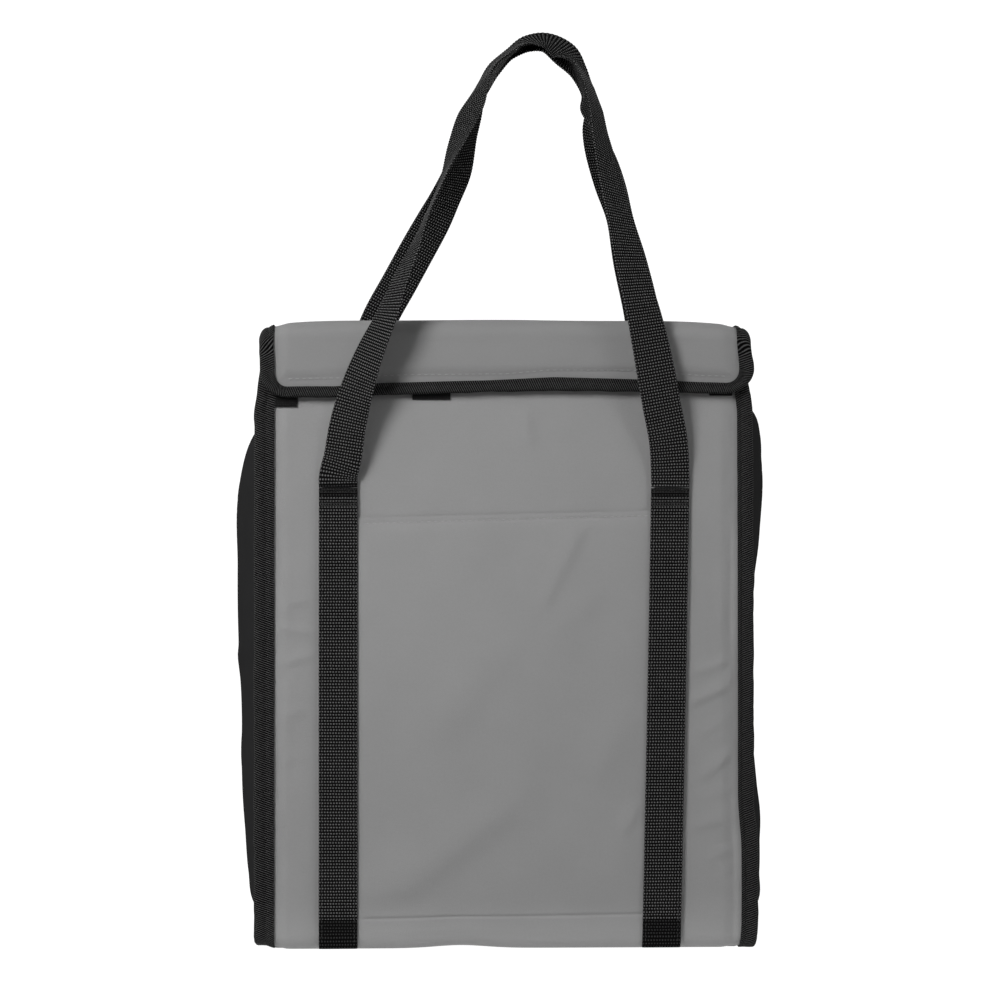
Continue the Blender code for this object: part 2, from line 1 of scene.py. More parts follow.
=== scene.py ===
"""Dresses the insulated tote bag: padded grey cloth, black gussets, ribbed tape, webbing and stitches.

Metres, +Z up. The front of the bag faces -Y. The bag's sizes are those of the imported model.
"""

import math

import bpy
import numpy as np
from bpy.props import FloatProperty, FloatVectorProperty, PointerProperty
from bpy.types import Operator, Panel, PropertyGroup
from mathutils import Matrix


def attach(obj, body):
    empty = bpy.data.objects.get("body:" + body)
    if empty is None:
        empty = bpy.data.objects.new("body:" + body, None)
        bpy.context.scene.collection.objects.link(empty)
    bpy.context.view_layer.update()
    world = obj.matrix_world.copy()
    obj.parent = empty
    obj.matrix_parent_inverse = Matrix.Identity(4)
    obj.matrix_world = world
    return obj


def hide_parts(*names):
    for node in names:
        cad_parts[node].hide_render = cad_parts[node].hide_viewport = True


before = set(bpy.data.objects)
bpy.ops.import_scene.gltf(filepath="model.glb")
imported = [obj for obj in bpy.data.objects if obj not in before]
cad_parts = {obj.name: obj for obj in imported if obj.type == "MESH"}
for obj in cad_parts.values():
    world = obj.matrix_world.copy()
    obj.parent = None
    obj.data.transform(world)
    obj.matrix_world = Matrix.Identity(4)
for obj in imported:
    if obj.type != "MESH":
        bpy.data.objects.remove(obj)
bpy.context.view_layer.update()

bl_info = {
    "name": "Insulated tote bag",
    "version": (1, 0, 0),
    "blender": (4, 5, 0),
    "location": "View3D > Sidebar > Tote",
    "description": "Sews an insulated tote bag around its packed frame",
    "category": "Add Mesh",
}

# Body sizes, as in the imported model
BAG_WIDTH = 0.321
BASE_DEPTH = 0.165
TOP_DEPTH = 0.150
LID_HEIGHT = 0.400
BASE_RADIUS = 0.010
PANEL_BELLY = 0.003
PANEL_CROWN = 0.005
WALL = 0.003
GAP = 0.0003

# Lid sizes
LID_WIDTH = 0.316
LID_RADIUS = 0.010
LID_CROWN = 0.0045
LID_RETURN = 0.006
LID_BACK_CROWN = 0.3
LID_FRONT_CROWN = 0.7
FLAP_DROP = 0.0485
FLAP_CORNER = 0.018
FLAP_SETTLE = 0.33

# Tape, webbing, pocket and patch sizes
TAPE = 0.0008
BODY_TAPE_WIDTH = 0.012
LID_TAPE_WIDTH = 0.0095
TAPE_SUNK = 0.0001
TAPE_EASE = 0.0012
TAPE_RAMP = 0.009
TAPE_TURN = 0.001
TAPE_GROOVE = 0.62  # share of a tape's width, from its turned edge, at which it is stitched
LID_TAPE_ROLL = 0.7  # share of the body tape's roll that the lid's has
STRAP_WIDTH = 0.025
STRAP = 0.0015
STRAP_SPACING = 0.213
STRAP_FOOT_SHIFT = -0.006
STRAP_FOOT_ANGLE = 45
TACK_HEIGHT = 0.2965
STRAP_HEM = 0.0205  # height over which a sewn strap is folded at its foot
POCKET = 0.001
POCKET_TOP = 0.2795
POCKET_TILT = 0.005
POCKET_SEAM = 0.0217  # height of its lower seam at the middle
POCKET_SEAM_SLOPE = 0.0138
HEM_STITCH = 0.0036  # from the pocket's upper edge
PATCH = 0.0011
PATCH_HEIGHT = 0.025

# Stitch sizes, and how far below a sewn strap's end the rows that hold its handle lie
HEM_STITCH_LENGTH = 0.0028
LID_STITCH_LENGTH = 0.0030
TAPE_STITCH_LENGTH = 0.0024
TACK_LENGTH = 0.0012
TACK_PITCH = 0.0011
TACKS = (0.0115, 0.0100, 0.0085, 0.0070, 0.0030, 0.0016)

# Gusset and handle sizes
GUSSET_WALL = 0.002
GUSSET_STUB = 0.003
GUSSET_REACH = 0.029
GUSSET_TUCK = 0.036
GUSSET_FULLNESS = 0.7
GUSSET_CREASE = 1.15
HANDLE_RISE = 0.300
HANDLE_ROOT = 0.006
HANDLE_LAYER = 0.0007

# What follows from them
RECESS = TAPE + GAP + TAPE_SUNK
PANEL_TOP = LID_HEIGHT - LID_RADIUS
BACK_SEAM = PANEL_TOP - LID_RETURN
FLAP_GAP = PATCH + TAPE + 3 * GAP
SEAM_X = BAG_WIDTH / 2 - BODY_TAPE_WIDTH - 2 * GAP
PRESSED_X = BAG_WIDTH / 2 - BODY_TAPE_WIDTH - TAPE_EASE
CREST_OFFSET = STRAP + HANDLE_LAYER
FOOT_RUN = math.pi / 2 * BASE_RADIUS
FOOT_ANGLE = math.radians(STRAP_FOOT_ANGLE)
STRAP_LENGTH = FOOT_ANGLE * BASE_RADIUS + TACK_HEIGHT - BASE_RADIUS
MM = 0.001
CREASE_DEPTH = 1.4  # the walls' and the pocket's creases are this much deeper than their tables say
BASE_ROWS = 48  # of the body's tape, between its two feet
HANDS = (("left", -1), ("right", 1))
SIDES = (("front", -1), ("back", 1))

# The flap's lower edge over the floor, its stitches over that edge, and its tape's width, each after its
# distance from the bag's middle, in millimetres
FLAP_EDGE = [
    (-158, 354.2), (-105, 354.1), (-77, 355.7), (-9, 357.7),
    (32, 358.4), (80, 358.1), (125, 357.1), (158, 356.5),
]
FLAP_ROW = [
    (-158, 12.1), (-105, 12.5), (-60, 13.1), (0, 12.5), (28, 14.9), (80, 15.1), (125, 12.5), (158, 12.5),
]
FLAP_TAPE = [(-158, 7.2), (-105, 7.2), (-77, 8.0), (-9, 8.2), (32, 9.9), (80, 8.8), (125, 7.8), (158, 7.8)]

# Sections up a gusset: share of the height, bulge of the left and of the right one, and fold
GUSSET_SECTIONS = np.array([
    (0.00, 0.00, 0.00, 0.00), (0.04, 0.50, 0.68, 0.00), (0.10, 0.69, 0.82, 0.00), (0.18, 0.79, 0.84, 0.00),
    (0.33, 0.84, 0.68, 0.00), (0.50, 0.91, 0.66, 0.00), (0.60, 0.94, 0.72, 0.00), (0.66, 0.93, 0.82, 0.00),
    (0.72, 0.92, 0.88, 0.01), (0.78, 0.90, 0.93, 0.04), (0.85, 0.66, 0.95, 0.10), (0.88, 0.42, 0.90, 0.16),
    (0.92, 0.15, 0.68, 0.40), (0.96, 0.05, 0.32, 0.74), (1.00, 0.00, 0.00, 1.00),
])

# Stations along the handles: across, up and out as shares of their sizes, and the webbing's turn in degrees
FRONT_LEFT_LEG = [
    (-0.975, 0.06, 1.03, 10), (-0.94, 0.135, 1.07, 18), (-0.885, 0.21, 1.1, 30), (-0.81, 0.285, 1.13, 43),
    (-0.71, 0.365, 1.12, 56), (-0.63, 0.44, 1.06, 65), (-0.54, 0.515, 0.98, 75), (-0.475, 0.575, 0.9, 83),
    (-0.40, 0.638, 0.81, 84), (-0.36, 0.672, 0.76, 82), (-0.27, 0.755, 0.62, 61), (-0.19, 0.827, 0.48, 52),
]
CREST = [
    (-0.10, 0.904, 0.30, 77), (-0.015, 0.946, 0.17, 73), (0.08, 0.975, 0.09, 76), (0.18, 0.993, 0.03, 64),
    (0.28, 0.995, 0.00, 56), (0.40, 0.970, 0.02, 44), (0.468, 0.943, 0.09, 62), (0.524, 0.903, 0.23, 68),
]
FRONT_RIGHT_LEG = [
    (0.57, 0.845, 0.41, 62), (0.598, 0.776, 0.58, 58), (0.653, 0.665, 0.79, 46), (0.69, 0.6, 0.89, 44),
    (0.755, 0.49, 1.02, 34), (0.8, 0.42, 1.08, 29), (0.84, 0.36, 1.12, 22), (0.895, 0.265, 1.13, 8),
    (0.94, 0.18, 1.09, 3), (0.985, 0.1, 1.04, 1),
]
BACK_LEFT_LEG = [
    (-0.975, 0.12, 1.03, 2), (-0.9, 0.25, 1.07, 3), (-0.76, 0.395, 1.07, 3), (-0.635, 0.475, 1.03, 5),
    (-0.51, 0.555, 0.97, 9), (-0.414, 0.615, 0.90, 19), (-0.348, 0.66, 0.84, 31), (-0.267, 0.72, 0.73, 37),
    (-0.207, 0.808, 0.55, 49), (-0.173, 0.842, 0.47, 59),
]
BACK_RIGHT_LEG = [
    (0.54, 0.888, 0.29, 128), (0.616, 0.803, 0.57, 56), (0.72, 0.702, 0.78, 35), (0.795, 0.622, 0.89, 46),
    (0.87, 0.52, 1.00, 24), (0.95, 0.40, 1.07, 8), (0.99, 0.22, 1.05, 1),
]

# Name of a patch, its place from the bag's middle, its width, and how much of it shows below the flap
PATCHES = [("left", -0.877, 0.60, 0.13), ("middle", -0.294, 0.98, -0.06), ("right", 0.877, 0.60, -0.17)]

# Soft creases as (x1, z1, x2, z2, rise, left, right), from one end to the other, in millimetres from the middle
# and from the floor. Each has a flank on its left and another, mostly steeper, on its right.
PANEL_CREASES = [
    (13, 347, 17, 322, 0.7, 6, 4), (-145, 219, -120, 226, 0.35, 4, 2), (-146, 208, -120, 204, 0.55, 4, 1.8),
    (-146, 182, -120, 190, 0.45, 4, 2), (-146, 148, -126, 155, 0.35, 4, 2.2),
    (-145, 120, -124, 124, 0.25, 5, 2.5), (120, 176, 148, 186, 0.7, 4.5, 1.8),
    (118, 157, 148, 170, 0.9, 5, 1.8), (124, 136, 144, 148, 0.4, 4, 2),
    (127, 109, 146, 126, 0.8, 5, 2), (116, 77, 148, 85, 0.5, 5, 2.5), (130, 58, 148, 66, 0.4, 4, 2.5),
    (124, 96, 146, 104, 0.35, 5, 2.5),
]
POCKET_CREASES = [
    (50, 272, 40, 248, 0.65, 8, 3.2), (41, 252, 24, 218, 0.65, 9, 3.6), (62, 230, 41, 207, 0.4, 10, 5.5),
    (7, 203, -48, 132, 0.7, 16, 12), (13, 101, -84, 26, 1.2, 18, 10), (86, 94, 76, 74, 0.7, 7, 3.0),
    (-92, 262, -86, 232, 0.4, 7, 5), (80, 160, 60, 110, 0.5, 12, 8),
]
BACK_CREASES = [
    (-60, 330, -95, 250, 0.9, 12, 6), (40, 260, -20, 170, 0.9, 20, 12), (20, 120, 75, 60, 0.9, 16, 9),
    (-30, 90, -80, 50, 0.7, 12, 8), (120, 190, 147, 176, 0.7, 5, 2), (122, 130, 147, 142, 0.6, 5, 2),
    (-147, 160, -121, 170, 0.7, 5, 2), (-146, 92, -124, 86, 0.5, 5, 2.5),
]
# On a gusset x runs along the bag's depth, from front to back.
LEFT_GUSSET_CREASES = [
    (-66, 372, -12, 262, 2.2, 10, 5), (66, 374, 14, 268, 2.0, 6, 10), (-70, 330, -40, 270, 1.0, 6, 4),
    (-60, 200, 20, 176, 1.0, 10, 5), (58, 150, -10, 116, 1.1, 11, 6), (-64, 84, -20, 110, 0.9, 9, 5),
    (40, 60, 68, 92, 0.8, 7, 5), (70, 300, 44, 250, 0.8, 5, 4),
]
RIGHT_GUSSET_CREASES = [
    (-66, 374, -16, 280, 2.0, 9, 5), (64, 372, 10, 256, 2.2, 6, 10), (-68, 262, -20, 226, 1.1, 8, 5),
    (-66, 168, -6, 196, 1.2, 10, 5), (62, 206, 16, 160, 1.0, 9, 6), (-58, 60, 8, 92, 1.0, 11, 6),
    (66, 104, 34, 70, 0.8, 7, 5), (72, 320, 50, 280, 0.7, 5, 4),
]
# On the lid z runs along it, from its back seam.
LID_CREASES = [
    (-90, 60, -60, 120, 0.6, 12, 8), (70, 50, 30, 130, 0.7, 14, 9), (-20, 90, 20, 150, 0.5, 14, 10),
]


def colour(**about):
    """A colour that a user may change."""
    return FloatVectorProperty(subtype="COLOR", size=3, min=0, max=1, **about)


def length(**about):
    """A length that a user may change."""
    return FloatProperty(unit="LENGTH", **about)


class ToteCloth(PropertyGroup):
    """Colours of the cloth, tape, webbing and thread."""

    shell: colour(name="Shell", description="Grey of the padded walls", default=(0.205, 0.205, 0.205))
    gusset: colour(name="Gusset", description="Black of the side gussets", default=(0.0150, 0.0150, 0.0153))
    tape: colour(name="Tape", description="Black of the binding tape", default=(0.0145, 0.0145, 0.0145))
    webbing: colour(name="Webbing", description="Black of the straps", default=(0.0148, 0.0148, 0.0148))
    hook: colour(name="Hook tape", description="Black of the closure patches", default=(0.01, 0.01, 0.01))
    pale_thread: colour(name="Pale thread", description="Thread of the hems", default=(0.238, 0.238, 0.238))
    dark_thread: colour(name="Dark thread", description="Thread of the straps", default=(0.006, 0.006, 0.006))


class ToteWeave(PropertyGroup):
    """Sizes of the weaves and the stitches."""

    cloth_pitch: length(name="Cloth yarn", description="Yarn to yarn of the grey cloth", default=0.0006)
    rib_pitch: length(name="Webbing rib", description="Rib to rib along the webbing", default=0.00195)
    rib_height: length(name="Rib height", description="How far a rib stands up", default=0.00048)
    yarn_pitch: length(name="Webbing yarn", description="Yarn to yarn across the webbing", default=0.00182)
    tape_pitch: length(name="Tape rib", description="Rib to rib along the tape", default=0.00143)
    twill_pitch: length(name="Gusset twill", description="Rib to rib of the gussets' twill", default=0.0007)
    hook_pitch: length(name="Hook", description="Hook to hook across a patch", default=0.0011)
    hook_row: length(name="Hook row", description="Row to row of the hooks", default=0.0013)
    hem_pitch: length(name="Hem stitch", description="Stitch to stitch along a hem", default=0.0043)
    tape_stitch: length(name="Tape stitch", description="Stitch to stitch along a tape", default=0.0032)
    thread: length(name="Thread", description="Thickness of the thread", default=0.00045)


class ToteStudio(PropertyGroup):
    """The lights and the camera."""

    key: FloatProperty(name="Key", description="Power of the left box", subtype="POWER", default=41.0)
    fill: FloatProperty(name="Fill", description="Power of the right box", subtype="POWER", default=12.0)
    sky: FloatProperty(name="Sky", description="Light from the open side", subtype="FACTOR", default=0.10)
    lens: FloatProperty(name="Lens", description="Focal length", unit="CAMERA", default=112.32)
    distance: length(name="Distance", description="Camera to the bag's front", default=2.0)
    azimuth: FloatProperty(
        name="Azimuth", description="Camera's turn round the bag", subtype="ANGLE",
        default=math.radians(-1.75),
    )


def smooth_step(value, start, end):
    share = np.clip((value - start) / (end - start), 0.0, 1.0)
    return share * share * (3 - 2 * share)


def smooth_values(places, values, at):
    """A smooth curve through the values at rising places, whose slopes come from each value's neighbours."""
    values = np.asarray(values, float)
    slopes = np.gradient(values, places, axis=0)
    i = np.clip(np.searchsorted(places, at) - 1, 0, len(places) - 2)
    step = places[i + 1] - places[i]
    t = (at - places[i]) / step
    if values.ndim > 1:
        step, t = step[..., None], t[..., None]
    return (
        (2 * t**3 - 3 * t**2 + 1) * values[i]
        + (t**3 - 2 * t**2 + t) * step * slopes[i]
        + (3 * t**2 - 2 * t**3) * values[i + 1]
        + (t**3 - t**2) * step * slopes[i + 1]
    )


def table_value(table, across):
    """Value of a table of (millimetres from the middle, millimetres) at places in metres, in metres."""
    places, values = np.array(table).T * MM
    return np.interp(across, places, values)


def dent(off, width):
    """From 1 at the middle of a dent or crease to 0 at some widths from it."""
    return np.exp(-((off / width) ** 2))


def crease_lift(creases, x, z):
    """How far a table of creases lifts the cloth at places in metres."""
    lift = np.zeros(np.broadcast(x, z).shape)
    for x1, z1, x2, z2, rise, left, right in creases:
        start = np.array((x1, z1)) * MM
        span = np.array((x2, z2)) * MM - start
        run = np.hypot(*span)
        along = ((x - start[0]) * span[0] + (z - start[1]) * span[1]) / run**2
        aside = ((x - start[0]) * span[1] - (z - start[1]) * span[0]) / run
        # A positive aside is on the right of a crease that runs up, and on the left of one that runs down.
        if span[1] < 0:
            aside = -aside
        ends = smooth_step(along, -0.15, 0.3) * (1 - smooth_step(along, 0.7, 1.15))
        lift = lift + rise * MM * ends * dent(aside, np.where(aside > 0, right, left) * MM)
    return lift


def ripple(a, b, size, seed):
    """A smooth uneven field from about -1 to 1 whose waves are about this size."""
    dice = np.random.default_rng(seed)
    field = np.zeros(np.broadcast(a, b).shape)
    waves = 6
    for _ in range(waves):
        turn = dice.uniform(0, math.pi)
        wave = size * dice.uniform(0.7, 1.5)
        phase = dice.uniform(0, 2 * math.pi)
        field += np.sin((a * math.cos(turn) + b * math.sin(turn)) * 2 * math.pi / wave + phase)
    return field / waves * 1.6


def half_depth(height):
    """Distance of the panels' face from the bag's middle plane at their side edges."""
    share = np.clip(height / LID_HEIGHT, 0.0, 1.0)
    return (BASE_DEPTH + (TOP_DEPTH - BASE_DEPTH) * share) / 2 + PANEL_BELLY * np.sin(math.pi * share)


def crown(across, height):
    """How far a panel's padding swells out in its middle."""
    rise = np.sin(math.pi * np.clip(height / LID_HEIGHT, 0.0, 1.0))
    return PANEL_CROWN * rise * np.maximum(0.0, 1 - (across / SEAM_X) ** 2) ** 2


def padding(across, height):
    """Outward swell of a panel's face, crowned in its middle and pressed down under the tape."""
    return crown(across, height) - RECESS * smooth_step(np.abs(across), PRESSED_X - TAPE_RAMP, PRESSED_X)


def panel_place(side, across, run, lift, follow=True):
    """Points on the front (side -1) or back (side 1) panel. A run below 0 goes round the foot."""
    height = BASE_RADIUS + np.maximum(run, 0.0)
    if follow:
        lift = lift + padding(across, np.where(run < 0, 0.0, height))
    angle = np.clip(-run / BASE_RADIUS, 0.0, math.pi / 2)
    foot = half_depth(BASE_RADIUS) - BASE_RADIUS
    y = np.where(run < 0, foot + (BASE_RADIUS + lift) * np.cos(angle), half_depth(height) + lift)
    z = np.where(run < 0, BASE_RADIUS - (BASE_RADIUS + lift) * np.sin(angle), height)
    return np.stack(np.broadcast_arrays(across, side * y, z), axis=-1)


def strap_middle(side, hand, run):
    """Middle of a sewn strap. The front right one leans in towards its foot."""
    height = BASE_RADIUS + np.maximum(run, 0.0)
    lean = STRAP_FOOT_SHIFT * np.maximum(0.0, 1 - height / TACK_HEIGHT) if side < 0 < hand else 0.0
    return hand * STRAP_SPACING / 2 + lean


def panel_relief(side, across, run):
    """What the cloth of a panel, and all that is sewn on it, adds to the plain form."""
    height = BASE_RADIUS + np.maximum(run, 0.0)
    off_middle = np.abs(across)
    lift = CREASE_DEPTH * crease_lift(PANEL_CREASES if side < 0 else BACK_CREASES, across, height)
    lift += 0.9 * MM * ripple(across, height, 0.15, 3 + side)
    lift += 0.22 * MM * ripple(across, height, 0.045, 5 + side)
    # The stitches beside the tape gather the padding.
    from_tape = np.maximum(0.0, PRESSED_X - off_middle)
    lift += 0.42 * MM * ripple(height, across, 0.013, 7 + side) * np.exp(-from_tape / 0.007)
    # Each sewn strap presses a shallow trough along its two edges.
    below_tack = 1 - smooth_step(height, TACK_HEIGHT - 0.01, TACK_HEIGHT)
    for _, hand in HANDS:
        off = np.abs(across - strap_middle(side, hand, run)) - STRAP_WIDTH / 2
        lift -= 0.25 * MM * dent(off, 0.005) * below_tack
    at_foot = smooth_step(run, -FOOT_RUN, 0.012)
    at_tape = 1 - smooth_step(off_middle, PRESSED_X - 0.002, PRESSED_X)
    under_flap = 1 - 0.7 * smooth_step(height, 0.340, 0.356)
    return lift * at_foot * at_tape * under_flap


def seam_dip(across, run):
    """The groove where the pocket's lower edge is sewn down."""
    seam = POCKET_SEAM + POCKET_SEAM_SLOPE * across
    return -0.75 * MM * dent(BASE_RADIUS + run - seam, 0.0009)


def lid_marks():
    """Where the lid's stretches end along its profile: return, back bend, top, front bend and flap."""
    bend = math.pi / 2 * LID_RADIUS
    top = 2 * half_depth(PANEL_TOP) + FLAP_GAP + WALL - 2 * LID_RADIUS
    return np.cumsum([0.0, LID_RETURN, bend, top, bend, FLAP_DROP - LID_RADIUS])


LID_MARKS = lid_marks()
LID_END = LID_MARKS[5]


def lid_place(across, along, lift):
    """Points on the lid, along metres from its back seam."""
    marks = LID_MARKS
    quarter = math.pi / 2
    back = half_depth(PANEL_TOP)
    front = back + FLAP_GAP + WALL
    radius = LID_RADIUS + lift
    rise = np.clip(along / LID_RETURN, 0.0, 1.0)
    turn_back = np.clip((along - marks[1]) / LID_RADIUS, 0.0, quarter)
    turn_front = np.clip((along - marks[3]) / LID_RADIUS, 0.0, quarter)
    drop = np.maximum(0.0, (along - marks[4]) / (marks[5] - marks[4]))
    share = LID_BACK_CROWN * rise + (1 - LID_BACK_CROWN) * turn_back / quarter
    share = (share - (1 - LID_FRONT_CROWN) * turn_front / quarter) * (1 - drop)
    stretch = [along <= mark for mark in marks[1:5]]
    z = np.select(
        stretch,
        [
            BACK_SEAM + GAP + (LID_RETURN - GAP) * rise,
            PANEL_TOP + radius * np.sin(turn_back),
            LID_HEIGHT + lift,
            PANEL_TOP + radius * np.cos(turn_front),
        ],
        PANEL_TOP - drop * (PANEL_TOP - table_value(FLAP_EDGE, across)),
    )
    z = z + LID_CROWN * (1 - (across / (LID_WIDTH / 2)) ** 6) * share
    hang = half_depth(z) - back + crown(across, z) * np.minimum(1.0, drop / FLAP_SETTLE)
    y = np.select(
        stretch,
        [
            back + lift,
            back - LID_RADIUS + radius * np.cos(turn_back),
            back - LID_RADIUS - (along - marks[2]),
            -(front - LID_RADIUS + radius * np.sin(turn_front)),
        ],
        -(front + hang + lift),
    )
    # The lid's side edges round off downwards and a little inwards.
    past = np.clip((np.abs(across) - 0.1455) / 0.0125, 0.0, 1.0)
    z = z - 0.0075 * (1 - np.sqrt(1 - 0.96 * past**2)) * smooth_step(z, 0.380, 0.394)
    # Its left side draws in a little, and its right side bulges.
    slack = np.where(across > 0, 2.5 * MM, 1.3 * MM) * smooth_step(np.abs(across), 0.105, 0.150)
    x = across + slack * smooth_step(z, 0.349, 0.366) * (1 - 0.55 * smooth_step(z, 0.374, 0.390))
    return np.stack(np.broadcast_arrays(x, y, z), axis=-1)


def gusset_place(hand, depth, height):
    """Points on a gusset: depth is -1 at the front seam and 1 at the back seam."""
    bottom = WALL + TAPE + 3 * GAP
    foot = half_depth(BASE_RADIUS) - BASE_RADIUS
    inner = BASE_RADIUS - WALL - GAP
    up = BASE_RADIUS - np.minimum(height, BASE_RADIUS)
    at_foot = foot + np.sqrt(np.maximum(0.0, inner**2 - up**2))
    reach = np.where(height < BASE_RADIUS, at_foot, half_depth(height) - WALL - GAP)
    share = np.clip((height - bottom) / (PANEL_TOP - bottom), 0.0, 1.0)
    places, left, right, tuck = GUSSET_SECTIONS.T
    bulge = GUSSET_REACH * np.maximum(0.0, smooth_values(places, left if hand < 0 else right, share))
    tuck = GUSSET_TUCK * np.maximum(0.0, smooth_values(places, tuck, share))
    y = depth * reach
    wave = np.clip((y / (reach - GUSSET_STUB) + 1) / 2, 0.0, 1.0)
    arch = np.sin(math.pi * wave)
    out = SEAM_X + bulge * arch**GUSSET_FULLNESS - tuck * (1 - np.abs(2 * wave - 1)) ** GUSSET_CREASE
    relief = crease_lift(LEFT_GUSSET_CREASES if hand < 0 else RIGHT_GUSSET_CREASES, y, height)
    relief += 0.6 * MM * ripple(y, height, 0.09, 21 + hand)
    # The fold that the gusset is packed flat along, sharp above and fading towards the base.
    relief -= 1.6 * MM * np.exp(-np.abs(y) / 0.004) * smooth_step(height, 0.05, 0.30)
    relief += 0.35 * MM * ripple(height, y, 0.012, 31 + hand) * np.exp(-np.minimum(wave, 1 - wave) / 0.05)
    free = arch**0.5 * smooth_step(height, bottom, 0.03) * (1 - smooth_step(share, 0.93, 1.0))
    return settle(np.stack(np.broadcast_arrays(hand * (out + relief * free), y, height), axis=-1))


def settle(points):
    """How the sewn body has sagged: its foot lifts, its shoulders draw in and one lower corner flares."""
    x, y, z = points[..., 0], points[..., 1], points[..., 2]
    rise = 2.4 * dent(x + 0.028, 0.022) * smooth_step(-y, 0.060, 0.078)
    rise += 0.8 * smooth_step(-x, 0.135, 0.160) * smooth_step(np.abs(y), 0.055, 0.075)
    rise += 2.4 * smooth_step(-x, 0.146, 0.157) * smooth_step(-y, 0.055, 0.075)
    low = smooth_step(z, -0.02, 0.02) * (1 - smooth_step(z, 0.060, 0.100))
    flare = 2.8 * smooth_step(x, 0.120, 0.1605) * low
    narrow = 1 - 0.021 * smooth_step(z, 0.342, 0.374)
    points[..., 0] = x * narrow + flare * MM * smooth_step(-y, 0.0, 0.06)
    points[..., 2] = z + rise * MM * (1 - smooth_step(z, 0.0, 0.030))
    return points


def deselect():
    bpy.ops.object.select_all(action="DESELECT")


def take(piece):
    """Makes a piece the only selected and active one."""
    deselect()
    piece.select_set(True)
    bpy.context.view_layer.objects.active = piece


def edit(piece, *steps):
    """Runs each edit-mode step on the whole of a piece."""
    take(piece)
    bpy.ops.object.mode_set(mode="EDIT")
    for step in steps:
        bpy.ops.mesh.select_all(action="SELECT")
        step()
    bpy.ops.object.mode_set(mode="OBJECT")


def points_of(mesh):
    points = np.empty(len(mesh.vertices) * 3)
    mesh.vertices.foreach_get("co", points)
    return points.reshape(-1, 3)


def shape(mesh, points, flat):
    """Moves a mesh's points to their places, and lays its flat map out by a place for each point."""
    mesh.vertices.foreach_set("co", points.reshape(-1))
    corners = np.empty(len(mesh.loops), dtype=np.int32)
    mesh.loops.foreach_get("vertex_index", corners)
    mesh.uv_layers[0].data.foreach_set("uv", flat[corners].reshape(-1))
    mesh.update()


def named(name):
    """The primitive that was just added, with its name."""
    piece = bpy.context.object
    piece.name = name
    piece.data.name = name
    return piece


def lay_grid(name, columns, rows, place, facing=None, cloth=None):
    """A grid of cloth, whose points lie where place puts each column and row. Its middle faces outwards."""
    deselect()
    bpy.ops.mesh.primitive_grid_add(x_subdivisions=len(columns) - 1, y_subdivisions=len(rows) - 1, size=1.0)
    piece = named(name)
    across, along = np.meshgrid(columns, rows)
    flat = np.stack(cloth(across, along) if cloth else (across, along), axis=-1).reshape(-1, 2)
    shape(piece.data, place(across, along), flat)
    middle = (len(rows) - 1) // 2 * (len(columns) - 1) + (len(columns) - 1) // 2
    if facing and piece.data.polygons[middle].normal.dot(facing) < 0:
        edit(piece, bpy.ops.mesh.flip_normals)
    return piece


def lay_strip(name, around, lengths, place):
    """A grid along a tape or strap. place gives the points for numbers of columns and rows."""
    return lay_grid(
        name, np.arange(len(around)), np.arange(len(lengths)), place,
        cloth=lambda column, row: (around[column], lengths[row]),
    )


def thicken(piece, thickness, round_edge=0.0, thinner=None):
    """Gives a grid its wall, inwards from its face, and rounds the rim.

    thinner gives the share of the wall that is left at each point.
    """
    take(piece)
    wall = piece.modifiers.new("wall", "SOLIDIFY")
    if thinner:
        shares = np.clip(thinner(points_of(piece.data)), 0.0, 1.0).round(2)
        group = piece.vertex_groups.new(name="wall")
        for share in np.unique(shares):
            group.add(np.nonzero(shares == share)[0].tolist(), float(share), "REPLACE")
        wall.vertex_group = group.name
    wall.thickness = thickness
    wall.offset = -1
    wall.use_even_offset = True
    bpy.ops.object.modifier_apply(modifier=wall.name)
    if round_edge:
        rim = piece.modifiers.new("rim", "BEVEL")
        rim.width = round_edge
        rim.segments = 2
        rim.limit_method = "ANGLE"
        rim.angle_limit = math.radians(60)
        bpy.ops.object.modifier_apply(modifier=rim.name)


def dress(piece, finish, slot, *nodes, smooth=50):
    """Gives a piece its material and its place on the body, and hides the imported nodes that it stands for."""
    take(piece)
    bpy.ops.object.shade_smooth_by_angle(angle=math.radians(smooth))
    piece.data.materials.clear()
    piece.data.materials.append(finish)
    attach(piece, "root")
    if nodes:
        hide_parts(*nodes)


def spread(*stretches):
    """Rising places with their own spacing on each stretch, given as (start, end, spacing)."""
    places = []
    for start, end, spacing in stretches:
        count = max(1, round((end - start) / spacing))
        places += list(np.linspace(start, end, count + 1)[:-1])
    return np.array(places + [stretches[-1][1]])


def unit(vectors):
    return vectors / np.linalg.norm(vectors, axis=-1, keepdims=True)


def path_lengths(points):
    """Length along a row of points, up to each point."""
    steps = np.linalg.norm(np.diff(points, axis=0), axis=1)
    return np.concatenate([[0.0], np.cumsum(steps)])


